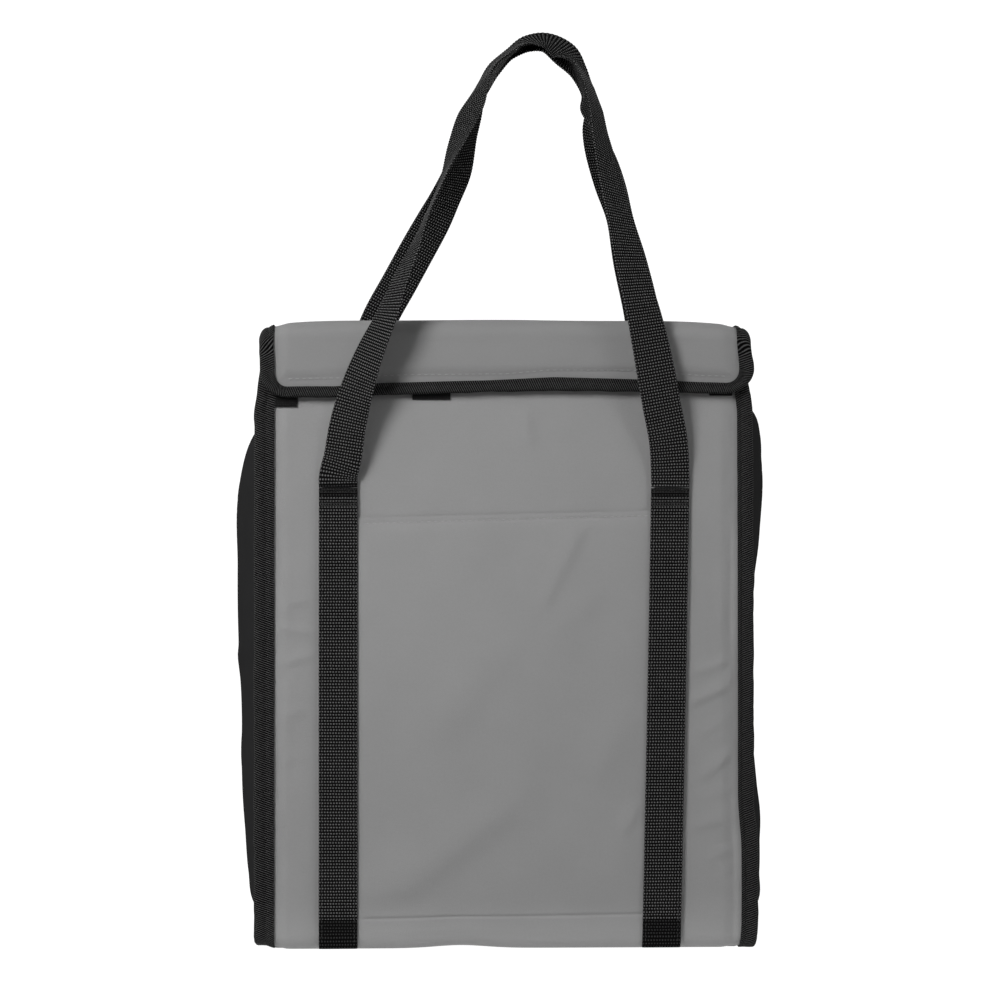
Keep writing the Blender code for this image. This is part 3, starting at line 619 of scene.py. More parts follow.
class Value:
    """One output of a node. Arithmetic on it adds Math nodes to the same tree."""

    def __init__(self, nodes, socket):
        self.nodes = nodes
        self.socket = socket

    def math(self, operation, first, second=0.0):
        return self.nodes.add("ShaderNodeMath", {"operation": operation}, {0: first, 1: second})["Value"]

    def __add__(self, other):
        return self.math("ADD", self, other)

    def __radd__(self, other):
        return self.math("ADD", other, self)

    def __sub__(self, other):
        return self.math("SUBTRACT", self, other)

    def __rsub__(self, other):
        return self.math("SUBTRACT", other, self)

    def __mul__(self, other):
        return self.math("MULTIPLY", self, other)

    def __rmul__(self, other):
        return self.math("MULTIPLY", other, self)

    def __pow__(self, other):
        return self.math("POWER", self, other)

    def at_least(self, least):
        return self.math("MAXIMUM", self, least)

    def sine(self):
        return self.math("SINE", self)

    def half(self):
        """Turns a range of -1 to 1 into 0 to 1."""
        return self * 0.5 + 0.5

    def wave(self, pitch):
        """From 0 to 1 and back over each pitch."""
        return (self * (2 * math.pi / pitch)).sine().half()


class Step:
    """A node whose outputs are read by name."""

    def __init__(self, nodes, node):
        self.nodes = nodes
        self.node = node

    def __getitem__(self, name):
        return Value(self.nodes, self.node.outputs[name])


class Nodes:
    """A node tree under construction."""

    def __init__(self, owner):
        owner.use_nodes = True
        self.tree = owner.node_tree

    def add(self, kind, settings=None, inputs=None):
        """Adds a node, sets it, and then links or fills its inputs."""
        node = self.tree.nodes.new(kind)
        for name, value in (settings or {}).items():
            setattr(node, name, value)
        for name, value in (inputs or {}).items():
            self.fill(node.inputs[name], value)
        return Step(self, node)

    def fill(self, socket, value):
        if isinstance(value, Value):
            self.tree.links.new(value.socket, socket)
        else:
            socket.default_value = value


class Finish(Nodes):
    """A material under construction."""

    def __init__(self, name):
        self.material = bpy.data.materials.new(name)
        super().__init__(self.material)
        self.shader = self.tree.nodes["Principled BSDF"]

    def surface(self, **values):
        """Fills the shader's own inputs, named with underscores for spaces."""
        for name, value in values.items():
            self.fill(self.shader.inputs[name.replace("_", " ").title().replace("Ior", "IOR")], value)
        return self.material

    def places(self):
        """The piece's own flat map, and its two directions, in metres."""
        flat = self.add("ShaderNodeUVMap", {"uv_map": "UVMap"})["UV"]
        parts = self.add("ShaderNodeSeparateXYZ", {}, {"Vector": flat})
        return flat, parts["X"], parts["Y"]

    def object_place(self):
        return self.add("ShaderNodeTexCoord")["Object"]

    def ramp(self, value, start, end):
        """Rises softly from 0 to 1 between two values."""
        ends = {"Value": value, "From Min": start, "From Max": end}
        return self.add("ShaderNodeMapRange", {"interpolation_type": "SMOOTHSTEP"}, ends)["Result"]

    def cloud(self, vector, size, detail=2.0):
        """Uneven patches of about this size, from 0 to 1."""
        inputs = {"Vector": vector, "Scale": 1 / size, "Detail": detail}
        return self.add("ShaderNodeTexNoise", {}, inputs)["Fac"]

    def shade(self, tint, amount):
        """A colour made lighter or darker by a varying amount."""
        grey = self.add("ShaderNodeCombineColor", {}, {0: amount, 1: amount, 2: amount})["Color"]
        settings = {"data_type": "RGBA", "blend_type": "MULTIPLY"}
        return self.add("ShaderNodeMix", settings, {"Factor": 1.0, "A": (*tint, 1.0), "B": grey})["Result"]

    def bump(self, height, depth):
        """A fine relief whose height runs from 0 to 1 and is this deep."""
        inputs = {"Strength": 1.0, "Distance": depth, "Height": height}
        return self.add("ShaderNodeBump", {}, inputs)["Normal"]


def shell_finish(name, painted_shade_factor):
    """Grey coated cloth with a fine plain weave; a factor below 1 darkens a copy of it as painted shade."""
    pitch = bpy.context.scene.tote_weave.cloth_pitch
    finish = Finish(name)
    flat, across, along = finish.places()
    yarn = across.wave(pitch) * along.wave(pitch) + (1 - across.wave(pitch)) * (1 - along.wave(pitch))
    patches = finish.cloud(flat, 0.030, 3.0)
    slub = finish.cloud(flat, 0.0018)
    # Mottled patches, slubs and the weave vary the grey; the factor darkens it as painted shade
    light = (0.935 + patches * 0.07 + slub * 0.08 + yarn * 0.02) * painted_shade_factor
    return finish.surface(
        base_color=finish.shade(bpy.context.scene.tote_cloth.shell, light),
        roughness=0.60 + slub * 0.08,
        normal=finish.bump(yarn * 0.6 + slub * 0.7, 0.00016),
        specular_ior_level=0.3,
    )


def gusset_finish(name):
    """Smooth black lining cloth with soft patches."""
    finish = Finish(name)
    flat, across, along = finish.places()
    twill = (across + along).wave(bpy.context.scene.tote_weave.twill_pitch)
    patches = finish.cloud(flat, 0.02, 3.0)
    slub = finish.cloud(flat, 0.0014)
    return finish.surface(
        base_color=finish.shade(bpy.context.scene.tote_cloth.gusset, 0.85 + patches * 0.2 + slub * 0.1),
        roughness=0.56 + patches * 0.10,
        normal=finish.bump(twill * 0.6 + slub * 0.6, 0.00010),
        specular_ior_level=0.0,
    )


def tape_finish(name):
    """Black grosgrain tape with fine slanting ribs, whose crests are painted lighter as painted highlight."""
    finish = Finish(name)
    flat, across, along = finish.places()
    rib = (along + across * 0.4).wave(bpy.context.scene.tote_weave.tape_pitch)
    fibre = finish.cloud(flat, 0.0007)
    return finish.surface(
        # The ribs' crests are painted lighter than the valleys, as painted highlight
        base_color=finish.shade(bpy.context.scene.tote_cloth.tape, 0.03 + (rib**3) * (0.6 + fibre * 7.2)),
        roughness=0.6,
        normal=finish.bump(rib * 0.8 + fibre * 0.5, 0.00045),
        specular_ior_level=0.01,
    )


def webbing_finish(name, pressed):
    """Black webbing: a pale painted glint on each yarn where it comes over a rib, weaker on the given
    stretches.
    """
    weave = bpy.context.scene.tote_weave
    finish = Finish(name)
    flat, across, along = finish.places()
    fibre = finish.cloud(flat, 0.0005)
    drift = (finish.cloud(flat, 0.012) - 0.5) * 2.0
    # Neighbouring ribs carry their yarns a little out of step.
    turn = (along * (math.pi / weave.rib_pitch)).sine()
    yarn_turn = across * (2 * math.pi / weave.yarn_pitch) + drift
    odd = turn.at_least(0.0) ** 4.0
    even = (turn * -1.0).at_least(0.0) ** 4.0
    # glint is a painted highlight on each yarn's top, and shine sets how strong it is
    glint = odd * (yarn_turn + 0.7).sine().half() ** 1.5 + even * (yarn_turn - 0.7).sine().half() ** 1.5
    shine = 0.45 + fibre * 1.1
    for start, end, left, ease in pressed:
        inside = finish.ramp(along, start, start + ease) * (1 - finish.ramp(along, end - ease, end))
        shine = shine * (1 - inside * (1 - left))
    return finish.surface(
        # The glint is painted highlight in the base colour, and the webbing has no specular
        base_color=finish.shade(bpy.context.scene.tote_cloth.webbing, 0.16 + glint * 11.0 * shine),
        roughness=0.6,
        normal=finish.bump(glint * 0.9 + fibre * 0.2, 0.00045),
        specular_ior_level=0.0,
    )


def hook_finish(name):
    """Black hook tape, with its rows of hooks as a fine relief and as painted highlight."""
    finish = Finish(name)
    flat, across, along = finish.places()
    weave = bpy.context.scene.tote_weave
    hooks = across.wave(weave.hook_pitch) * along.wave(weave.hook_row)
    fibre = finish.cloud(flat, 0.0005)
    return finish.surface(
        # The hooks are painted lighter than the tape under them, as painted highlight
        base_color=finish.shade(bpy.context.scene.tote_cloth.hook, 0.5 + hooks * 0.9 + fibre * 0.4),
        roughness=0.8,
        normal=finish.bump(hooks * 0.8 + fibre * 0.3, 0.0004),
        specular_ior_level=0.02,
    )


def thread_finish(name):
    """Twisted sewing thread, in the colour that has the material's name."""
    finish = Finish(name)
    fibre = finish.cloud(finish.object_place(), 0.0004)
    return finish.surface(
        base_color=finish.shade(getattr(bpy.context.scene.tote_cloth, name), 0.8 + fibre * 0.4),
        roughness=0.55,
        normal=finish.bump(fibre, 0.00008),
    )


# Stretches of a strap that its stitches press flat, where its painted glint is weaker: its hem, a fine band and
# the band at its top, each as (start, end, share of the ribs and of their painted glint that is left, length of
# the fade)
STRAP_BANDS = [
    (-0.01, STRAP_HEM - (TACK_HEIGHT - STRAP_LENGTH), 0.24, 0.0012),
    (STRAP_LENGTH - 0.0125, STRAP_LENGTH - 0.0085, 0.55, 0.0012),
    (STRAP_LENGTH - 0.0062, STRAP_LENGTH + 0.01, 0.22, 0.0012),
]
# Stretches of a handle where its painted glint is weaker, as above: at its first root, and where it turns from
# the light, as painted shade
HANDLE_BANDS = [(-0.01, 0.0032, 0.25, 0.0012), (0.20, 0.42, 0.75, 0.06)]
MAKERS = {
    "shell_cloth": lambda name: shell_finish(name, 1.0),
    # The lid's cloth is the shell cloth darkened to 0.86, as painted shade
    "lid_cloth": lambda name: shell_finish(name, 0.86),
    "gusset_cloth": gusset_finish,
    "binding_tape": tape_finish,
    "strap_webbing": lambda name: webbing_finish(name, STRAP_BANDS),
    "handle_webbing": lambda name: webbing_finish(name, HANDLE_BANDS),
    "closure_tape": hook_finish,
    "pale_thread": thread_finish,
    "dark_thread": thread_finish,
}
FINISHES = {}


def finish_of(name):
    """Each material is made once, when a piece first asks for it."""
    if name not in FINISHES:
        FINISHES[name] = MAKERS[name](name)
    return FINISHES[name]


def panel_columns(spacing):
    """Places across a wall, close together where the tape presses it down."""
    edge = BAG_WIDTH / 2 - TAPE - GAP
    ramp = PRESSED_X - TAPE_RAMP
    left = (-edge, -PRESSED_X, 0.004), (-PRESSED_X, -ramp, 0.001)
    return spread(*left, (-ramp, ramp, spacing), (ramp, PRESSED_X, 0.001), (PRESSED_X, edge, 0.004))


def pressed_share(points):
    """Share of a wall's thickness left at its points: the tape presses its edges thin."""
    return 1 - RECESS / WALL * smooth_step(np.abs(points[:, 0]), PRESSED_X - TAPE_RAMP - MM, PRESSED_X - MM)


def sew_wall(name, node, rows, spacing, place, facing, thickness):
    piece = lay_grid(name, panel_columns(spacing), rows, place, facing)
    thicken(piece, thickness, thinner=pressed_share)
    dress(piece, finish_of("shell_cloth"), "shell_fabric", node)


class TOTE_OT_walls(Operator):
    """Sew the padded front, back and base"""

    bl_idname = "tote.walls"
    bl_label = "Walls"

    def execute(self, context):
        for (face, side), top in zip(SIDES, (PANEL_TOP, BACK_SEAM)):

            def place(across, run):
                return settle(panel_place(side, across, run, panel_relief(side, across, run)))

            rows = spread((-FOOT_RUN, 0.0, 0.0022), (0.0, top - BASE_RADIUS, 0.0025))
            sew_wall(f"{face}_wall", f"{face}_panel", rows, 0.0026, place, (0, side, 0), WALL)

        reach = half_depth(BASE_RADIUS) - BASE_RADIUS - GAP

        def base_place(across, depth):
            arch = np.cos(math.pi / 2 * depth / reach) * np.cos(math.pi / 2 * across / SEAM_X) ** 2
            rise = 0.36 * MM * arch
            uneven = 0.25 * MM * (1 + ripple(across, depth, 0.05, 11))
            swell = np.where(np.abs(across) > PRESSED_X, RECESS, uneven)
            return settle(np.stack([across, depth, np.maximum(rise + swell, 0.0)], axis=-1))

        rows = spread((-reach, reach, 0.006))
        sew_wall("base_wall", "base_panel", rows, 0.006, base_place, (0, 0, -1), WALL - GAP)
        return {"FINISHED"}


class TOTE_OT_gussets(Operator):
    """Sew the black side gussets with their centre fold"""

    bl_idname = "tote.gussets"
    bl_label = "Gussets"

    def execute(self, context):
        shares = np.sin(np.linspace(-math.pi / 2, math.pi / 2, 45))
        columns = np.unique(np.concatenate([shares, np.linspace(-0.95, 0.95, 47)]).round(4))
        rows = spread((WALL + GAP, BASE_RADIUS, 0.0012), (BASE_RADIUS, PANEL_TOP, 0.0030))
        for label, hand in HANDS:
            piece = lay_grid(
                f"gusset_cloth_{label}", columns, rows,
                lambda depth, height: gusset_place(hand, depth, height), (hand, 0, 0),
                cloth=lambda depth, height: (depth * half_depth(height) * 1.12, height),
            )
            thicken(piece, GUSSET_WALL)
            dress(piece, finish_of("gusset_cloth"), "gusset_fabric", f"gusset_{label}")
        return {"FINISHED"}


def lid_press(across, to_end):
    """How far the lid's padding is pressed down under the tape."""
    from_edge = np.minimum(LID_WIDTH / 2 - np.abs(across), to_end)
    pressed = LID_TAPE_WIDTH + TAPE_EASE
    return RECESS * (1 - smooth_step(from_edge, pressed, pressed + TAPE_RAMP))


def flap_stitch(across):
    """Where the flap's stitch row runs along the lid's length."""
    return LID_END - table_value(FLAP_ROW, across)


def lid_relief(across, along):
    lift = crease_lift(LID_CREASES, across, along) + 0.4 * MM * ripple(across, along, 0.09, 41)
    from_side = LID_WIDTH / 2 - LID_TAPE_WIDTH - TAPE_EASE - np.abs(across)
    from_end = LID_END - LID_TAPE_WIDTH - TAPE_EASE - along
    lift += 0.22 * MM * ripple(along, across, 0.014, 43) * np.exp(-np.maximum(from_side, 0) / 0.006)
    lift += 0.18 * MM * ripple(across, along, 0.016, 44) * np.exp(-np.maximum(from_end, 0) / 0.006)
    # The row of stitches along the flap draws a shallow line.
    lift -= 0.3 * MM * dent(along - flap_stitch(across), 0.0016)
    at_edge = smooth_step(np.minimum(from_side, from_end), 0.0, 0.004)
    return lift * at_edge * smooth_step(along, 0.0, 0.006)


class TOTE_OT_lid(Operator):
    """Sew the padded lid and its front flap"""

    bl_idname = "tote.lid"
    bl_label = "Lid"

    def execute(self, context):
        edge = LID_WIDTH / 2 - TAPE - GAP
        radius = FLAP_CORNER - TAPE - GAP
        ramp = LID_WIDTH / 2 - LID_TAPE_WIDTH - TAPE_EASE - TAPE_RAMP
        turns = [edge - radius * (1 - math.sin(a)) for a in np.radians([30, 45, 57, 67, 76, 83, 90])]
        half = sorted({*spread((ramp, ramp + TAPE_RAMP, MM))[:-1], *turns})
        columns = np.array([-x for x in reversed(half)] + list(spread((-ramp, ramp, 0.0027))[1:-1]) + half)
        end = LID_END - TAPE - GAP
        upper = end - radius - MM
        rows = spread((0.0, LID_MARKS[4], 0.0028), (LID_MARKS[4], upper, 0.0022), (upper, end, 0.0011))

        def stops(across, along):
            """Rows below the last straight one close up towards the rounded lower edge."""
            into = np.clip(np.abs(across) - (edge - radius), 0.0, radius)
            short = radius - np.sqrt(np.maximum(0.0, radius**2 - into**2))
            closed = upper + (along - upper) * (end - short - upper) / (end - upper)
            return np.where(along > upper, closed, along)

        def place(across, along):
            along = stops(across, along)
            lift = lid_relief(across, along) - lid_press(across, LID_END - along)
            return lid_place(across, along, lift)

        def share_left(points):
            across, along = np.meshgrid(columns, rows)
            return 1 - lid_press(across, LID_END - stops(across, along)).reshape(-1) / WALL

        piece = lay_grid("padded_lid", columns, rows, place, (0, 0, 1), cloth=lambda x, a: (x, stops(x, a)))
        thicken(piece, WALL, thinner=share_left)
        # The lid takes the darker copy of the shell cloth, whose darkening is painted shade
        dress(piece, finish_of("lid_cloth"), "shell_fabric", "lid")
        return {"FINISHED"}


def pocket_lift(across, run):
    """Place of the pocket's outer face over the front panel's."""
    below = POCKET_TOP + POCKET_TILT * across / STRAP_SPACING - BASE_RADIUS - run
    free = smooth_step(STRAP_SPACING / 2 - STRAP_WIDTH / 2 - np.abs(across), 0.0, 0.008)
    own = CREASE_DEPTH * crease_lift(POCKET_CREASES, across, BASE_RADIUS + run)
    own += 0.25 * MM * (1 + ripple(across, run, 0.07, 51))
    # The hem is folded over twice, and its stitches draw it in.
    hem = -0.80 * MM * (1 - smooth_step(below, -0.001, 0.011))
    hem -= 0.22 * MM * dent(below - HEM_STITCH, 0.0010)
    hem += 0.12 * MM * ripple(across, below, 0.012, 53) * np.exp(-below / 0.01)
    rise = own * free * smooth_step(run, 0.014, 0.03) + hem * free
    return panel_relief(-1, across, run) + GAP + POCKET + rise + seam_dip(across, run) * free


class TOTE_OT_pocket(Operator):
    """Sew the flat front pocket with its hem"""

    bl_idname = "tote.pocket"
    bl_label = "Pocket"

    def execute(self, context):
        half = STRAP_SPACING / 2
        foot = -math.radians(STRAP_FOOT_ANGLE + 5) * BASE_RADIUS
        top = POCKET_TOP - BASE_RADIUS
        lower = (foot, 0.008, 0.0017), (0.008, 0.017, 0.0006)
        rows = spread(*lower, (0.017, 0.256, 0.0025), (0.256, top, 0.0007))

        def place(across, run):
            share = np.maximum(run, 0.0) / top
            run = np.where(run < 0, run, share * (top + POCKET_TILT * across / STRAP_SPACING))
            across = across + STRAP_FOOT_SHIFT * (1 - share) * np.maximum(0.0, across / half)
            return settle(panel_place(-1, across, run, pocket_lift(across, run)))

        piece = lay_grid("pocket_cloth", spread((-half, half, 0.0025)), rows, place, (0, -1, 0))
        # The cloth is a single layer, thinner than the node that it stands for.
        thicken(piece, POCKET * 0.35)
        dress(piece, finish_of("shell_cloth"), "shell_fabric", "front_pocket")
        return {"FINISHED"}


def tape_section(width, rounding=4):
    """The tape's U section as (reach, lift) pairs round the edge at reach 0, from the face inwards."""
    low = -WALL - GAP - TAPE
    high = -RECESS + GAP + TAPE
    turn = TAPE_TURN + TAPE
    angles = np.linspace(0.0, math.pi / 2, rounding + 1)
    section = [(-width + share * (width - turn), high) for share in np.linspace(0.0, 1.0, 13)[:-1]]
    section += [(-turn + turn * math.sin(a), high - turn + turn * math.cos(a)) for a in angles]
    section += [(-turn + turn * math.cos(a), low + turn - turn * math.sin(a)) for a in angles]
    section += [(-width + share * (width - turn), low) for share in np.linspace(1.0, 0.0, 4)[1:]]
    return np.array(section)


def tape_roll(reach, lift, width):
    """The tape's face rolls up between its turn and its stitches, which sink in, and stands up past them."""
    groove = -width * TAPE_GROOVE
    rolled = np.sin(math.pi * np.clip(reach / groove, 0.0, 1.0)) ** 0.8 * 0.8 * MM
    lip = 0.35 * MM * smooth_step(groove - reach, 0.0006, 0.0022)
    sunk = -0.45 * MM * dent(reach - groove, 0.0009)
    return np.where(lift > -WALL / 2, rolled + lip + sunk, 0.0)


def tape_points(width, lengths, seed, roll, column, row):
    """Reach and lift of a sewn tape's points, and how far its uneven turn stands out."""
    section = tape_section(width)
    reach, lift = section[column, 0], section[column, 1]
    along = lengths[row]
    puff = 0.26 * MM * ripple(along, reach, 0.015, seed) + 0.10 * MM * ripple(along, reach, 0.005, seed + 1)
    turned = smooth_step(reach, -0.002, 0.0)
    swell = (1 - turned) * np.abs(puff) * np.sign(lift + WALL / 2) * 0.5
    return reach, lift + tape_roll(reach, lift, width) * roll + swell, turned * puff


# Runs along the body's tape, down the front and up the back
FOOT_STRETCH = (-FOOT_RUN, 0.0, 0.0014)
FRONT_RUNS = spread(FOOT_STRETCH, (0.0, PANEL_TOP - BASE_RADIUS, 0.0026))[::-1]
BACK_RUNS = spread(FOOT_STRETCH, (0.0, BACK_SEAM - BASE_RADIUS, 0.0026))
FRONT_ROWS = len(FRONT_RUNS)
TAPE_ROWS = FRONT_ROWS + BASE_ROWS + len(BACK_RUNS)


def body_tape_place(hand, reach, lift, row):
    """Points of the body's tape for row numbers that count the front, the base and the back."""
    across = hand * (BAG_WIDTH / 2 + reach)
    front = FRONT_RUNS[np.clip(row, 0, FRONT_ROWS - 1)]
    back = BACK_RUNS[np.clip(row - FRONT_ROWS - BASE_ROWS, 0, len(BACK_RUNS) - 1)]
    on_front = panel_place(-1, across, front, lift, False)
    on_back = panel_place(1, across, back, lift, False)
    share = np.clip((row - FRONT_ROWS + 1) / (BASE_ROWS + 1), 0.0, 1.0)[..., None]
    return settle(np.where(row[..., None] < FRONT_ROWS, on_front, on_front * (1 - share) + on_back * share))


def on_wall(row):
    """1 where a row of the body's tape lies on an upright wall, fading to 0 underneath the bag."""
    fade = 10
    inside = np.minimum(row - FRONT_ROWS + fade, FRONT_ROWS + BASE_ROWS + fade - row)
    return 1 - smooth_step(inside, 0.0, fade)


def sew_tape(name, node, width, lengths, place, hand):
    """A tape round an edge, whose turned edge faces the bag's side."""
    piece = lay_strip(name, path_lengths(tape_section(width)), lengths, place)
    outermost = max(piece.data.polygons, key=lambda face: hand * face.center.x)
    if hand * outermost.normal.x < 0:
        edit(piece, bpy.ops.mesh.flip_normals)
    thicken(piece, TAPE)
    dress(piece, finish_of("binding_tape"), "binding_tape", node)


def lid_edge():
    """The lid's bound edge from the back seam round the flap: its place (across, along) and its way out."""
    half = LID_WIDTH / 2
    centre_x, centre_a = half - FLAP_CORNER, LID_END - FLAP_CORNER
    right = [(half, a, 1.0, 0.0) for a in spread((0.0, centre_a, 0.0024))[:-1]]
    for angle in np.linspace(0.0, math.pi / 2, 14):
        out_x, out_a = math.cos(angle), math.sin(angle)
        right.append((centre_x + FLAP_CORNER * out_x, centre_a + FLAP_CORNER * out_a, out_x, out_a))
    lower = [(x, LID_END, 0.0, 1.0) for x in spread((-centre_x, centre_x, 0.0028))[::-1][1:-1]]
    return np.array(right + lower + [(-x, a, -out_x, out_a) for x, a, out_x, out_a in reversed(right)])


def lid_tape_place(edge, reach, lift):
    return lid_place(edge[..., 0] + edge[..., 2] * reach, edge[..., 1] + edge[..., 3] * reach, lift)


def lid_tape_share(edge):
    """How wide the lid's tape is at places of its edge, as a share of its usual width."""
    share = table_value(FLAP_TAPE, edge[..., 0]) / LID_TAPE_WIDTH
    return 1 + (share - 1) * edge[..., 3] ** 2


class TOTE_OT_bindings(Operator):
    """Bind the body's side edges and the lid's edge with ribbed tape"""

    bl_idname = "tote.bindings"
    bl_label = "Bindings"

    def execute(self, context):
        runs = path_lengths(body_tape_place(1, 0.0, 0.0, np.arange(TAPE_ROWS)))
        for label, hand in HANDS:

            def body_place(column, row):
                reach, lift, puff = tape_points(BODY_TAPE_WIDTH, runs, 61 + hand, on_wall(row), column, row)
                # The left tape shows wider in the photograph than the right one.
                wider = (0.08 if hand < 0 else -0.13) * smooth_step(-reach, 0.006, BODY_TAPE_WIDTH)
                return body_tape_place(hand, reach * (1 + wider) + puff, lift, row)

            sew_tape(f"side_tape_{label}", f"body_binding_{label}", BODY_TAPE_WIDTH, runs, body_place, hand)

        edge = lid_edge()
        lengths = path_lengths(lid_place(edge[:, 0], edge[:, 1], 0.0))

        def lid_tape(column, row):
            reach, lift, puff = tape_points(LID_TAPE_WIDTH, lengths, 71, LID_TAPE_ROLL, column, row)
            return lid_tape_place(edge[row], reach * lid_tape_share(edge[row]) + puff, lift)

        sew_tape("lid_tape", "lid_binding", LID_TAPE_WIDTH, lengths, lid_tape, 1)
        return {"FINISHED"}


def webbing_ring():
    """The webbing's section, all round, as shares of half its width and half its thickness."""
    shares = np.array([0.0, 0.3, 0.6, 0.85, 0.95, 0.985])
    face = np.concatenate([-shares[::-1], shares[1:]])
    thick = 1 - 0.16 * smooth_step(np.abs(face), 0.82, 0.97) - 0.34 * smooth_step(np.abs(face), 0.95, 0.99)
    outer = list(zip(face, thick)) + [(1.0, 0.0)]
    inner = [(-across, -depth) for across, depth in outer]
    return np.array(outer + inner + outer[:1])


def make_webbing(name, node, finish, spine, total, ribs_left):
    """A webbing strap of this length, with its crosswise ribs.

    spine gives the middle, width and outward vectors at lengths along it, and ribs_left the share of its ribs
    that the stitches leave there.
    """
    weave = bpy.context.scene.tote_weave
    ring = webbing_ring()
    rows = np.arange(0.0, total, weave.rib_pitch / 4)
    middle, sideways, outward = spine(rows)
    ribs = (0.5 - 0.5 * np.cos(2 * math.pi * rows / weave.rib_pitch)) * ribs_left(rows)

    def place(column, row):
        share, depth = ring[column, 0], ring[column, 1]
        low = 1 - ribs[row]
        across = share * (STRAP_WIDTH / 2 - low * 0.18 * MM * smooth_step(np.abs(share), 0.9, 1.0))
        off = depth * (STRAP / 2 - weave.rib_height * low)
        return middle[row] + sideways[row] * across[..., None] + outward[row] * off[..., None]

    piece = lay_strip(name, path_lengths(ring * (STRAP_WIDTH / 2, STRAP / 2)), rows, place)
    # The two long edges join, the ends close and the faces point outwards.
    edit(
        piece,
        lambda: bpy.ops.mesh.remove_doubles(threshold=1e-6),
        lambda: bpy.ops.mesh.fill_holes(sides=0),
        lambda: bpy.ops.mesh.normals_make_consistent(inside=False),
    )
    dress(piece, finish_of(finish), "webbing", node, smooth=70)


def strap_spine(side, hand):
    """Middle, width and outward vectors of a sewn strap, at lengths from its foot."""
    cloth = POCKET + GAP if side < 0 else 0.0

    def spine(rows):
        run = rows - FOOT_ANGLE * BASE_RADIUS
        middle_x = strap_middle(side, hand, run)

        def on(across):
            relief = panel_relief(side, across, run)
            if side < 0:
                relief = relief + 0.7 * seam_dip(across, run)
            return settle(panel_place(side, across, run, GAP + cloth + STRAP / 2 + relief))

        middle = on(middle_x)
        sideways = unit(on(middle_x + 0.008) - on(middle_x - 0.008))
        outward = unit(np.cross(unit(np.gradient(middle, axis=0)), sideways))
        outward *= np.sign(outward[:, 1:2] * side)
        return middle, sideways, outward

    return spine


def strap_ribs(rows):
    share = np.ones(len(rows))
    for start, end, left, ease in STRAP_BANDS:
        inside = smooth_step(rows, start, start + ease) * (1 - smooth_step(rows, end - ease, end))
        share *= 1 - inside * (1 - left)
    return share


class TOTE_OT_straps(Operator):
    """Sew the four webbing straps on the walls"""

    bl_idname = "tote.straps"
    bl_label = "Straps"

    def execute(self, context):
        for face, side in SIDES:
            for label, hand in HANDS:
                name, node = f"{face}_webbing_{label}", f"{face}_strap_{label}"
                make_webbing(name, node, "strap_webbing", strap_spine(side, hand), STRAP_LENGTH, strap_ribs)
        return {"FINISHED"}


def handle_root(side, hand):
    """The straight root of a handle above a sewn strap's end: its two points and its turn."""
    middle = float(strap_middle(side, hand, TACK_HEIGHT - BASE_RADIUS))
    lift = GAP + (POCKET + GAP if side < 0 else 0.0) + STRAP / 2
    end, rise = (
        panel_place(side, np.array(middle), np.array(TACK_HEIGHT + up - BASE_RADIUS), lift)
        for up in (GAP / 8, HANDLE_ROOT)
    )
    half = STRAP_WIDTH / 2
    fall = padding(abs(middle) - half, TACK_HEIGHT) - padding(abs(middle) + half, TACK_HEIGHT)
    return end, rise, math.degrees(math.atan(fall / STRAP_WIDTH))


def handle_path(side, left_leg, right_leg):
    """Lengths, points and turns along a handle, and where its crest starts, is eased and ends."""
    end, rise, turn = handle_root(side, -1)
    points, turns = [end, rise], [turn, turn]
    first, last = len(left_leg), len(left_leg) + len(CREST)
    for number, (across, up, out, turn) in enumerate(left_leg + CREST + right_leg):
        depth = side * out * abs(end[1])
        points.append(np.array((across * STRAP_SPACING / 2, depth, TACK_HEIGHT + up * HANDLE_RISE)))
        # Over the crest both handles lie the same way, so the back one has turned past its edge.
        turns.append(180.0 - turn if first <= number < last and side > 0 else turn)
    end, rise, turn = handle_root(side, 1)
    points = np.array(points + [rise, end])
    runs = path_lengths(points)
    crest = runs[first + 1], runs[first + 2], runs[last + 2]
    return runs, points, np.radians(turns + [turn, turn]), crest


def handle_spine(side, left_leg, right_leg):
    """What strap_spine gives, for a handle, and the handle's length."""
    runs, points, turns, (crest_start, crest_eased, crest_end) = handle_path(side, left_leg, right_leg)
    table = np.column_stack([points, turns])
    away = np.array((0.0, side, 0.0))

    def spine(rows):
        here = smooth_values(runs, table, rows)
        before = smooth_values(runs, table, np.maximum(rows - MM, 0.0))
        after = smooth_values(runs, table, np.minimum(rows + MM, runs[-1]))
        tangent = unit(after[:, :3] - before[:, :3])
        outward = unit(np.stack([-tangent[:, 2], np.zeros(len(rows)), tangent[:, 0]], axis=1))
        middle, turn = here[:, :3], here[:, 3:4]
        normal = np.cos(turn) * away + np.sin(turn) * outward
        normal = unit(normal - np.sum(normal * tangent, axis=1, keepdims=True) * tangent)
        if side > 0:
            ease = crest_eased - crest_start
            under = smooth_step(rows, crest_start, crest_eased)
            under = under * (1 - smooth_step(rows, crest_end - ease, crest_end))
            middle = middle - normal * (CREST_OFFSET * under)[:, None]
        return middle, np.cross(normal, tangent), normal

    return spine, runs[-1]


class TOTE_OT_handles(Operator):
    """Lay the two webbing handles over the bag"""

    bl_idname = "tote.handles"
    bl_label = "Handles"

    def execute(self, context):
        legs = ((FRONT_LEFT_LEG, FRONT_RIGHT_LEG), (BACK_LEFT_LEG, BACK_RIGHT_LEG))
        for (face, side), (left_leg, right_leg) in zip(SIDES, legs):
            spine, total = handle_spine(side, left_leg, right_leg)

            def root_ribs(rows):
                return 1 - 0.8 * (1 - smooth_step(np.minimum(rows, total - rows), 0.0020, 0.0035))

            name, node = f"{face}_webbing_handle", f"{face}_handle"
            make_webbing(name, node, "handle_webbing", spine, total, root_ribs)
        return {"FINISHED"}


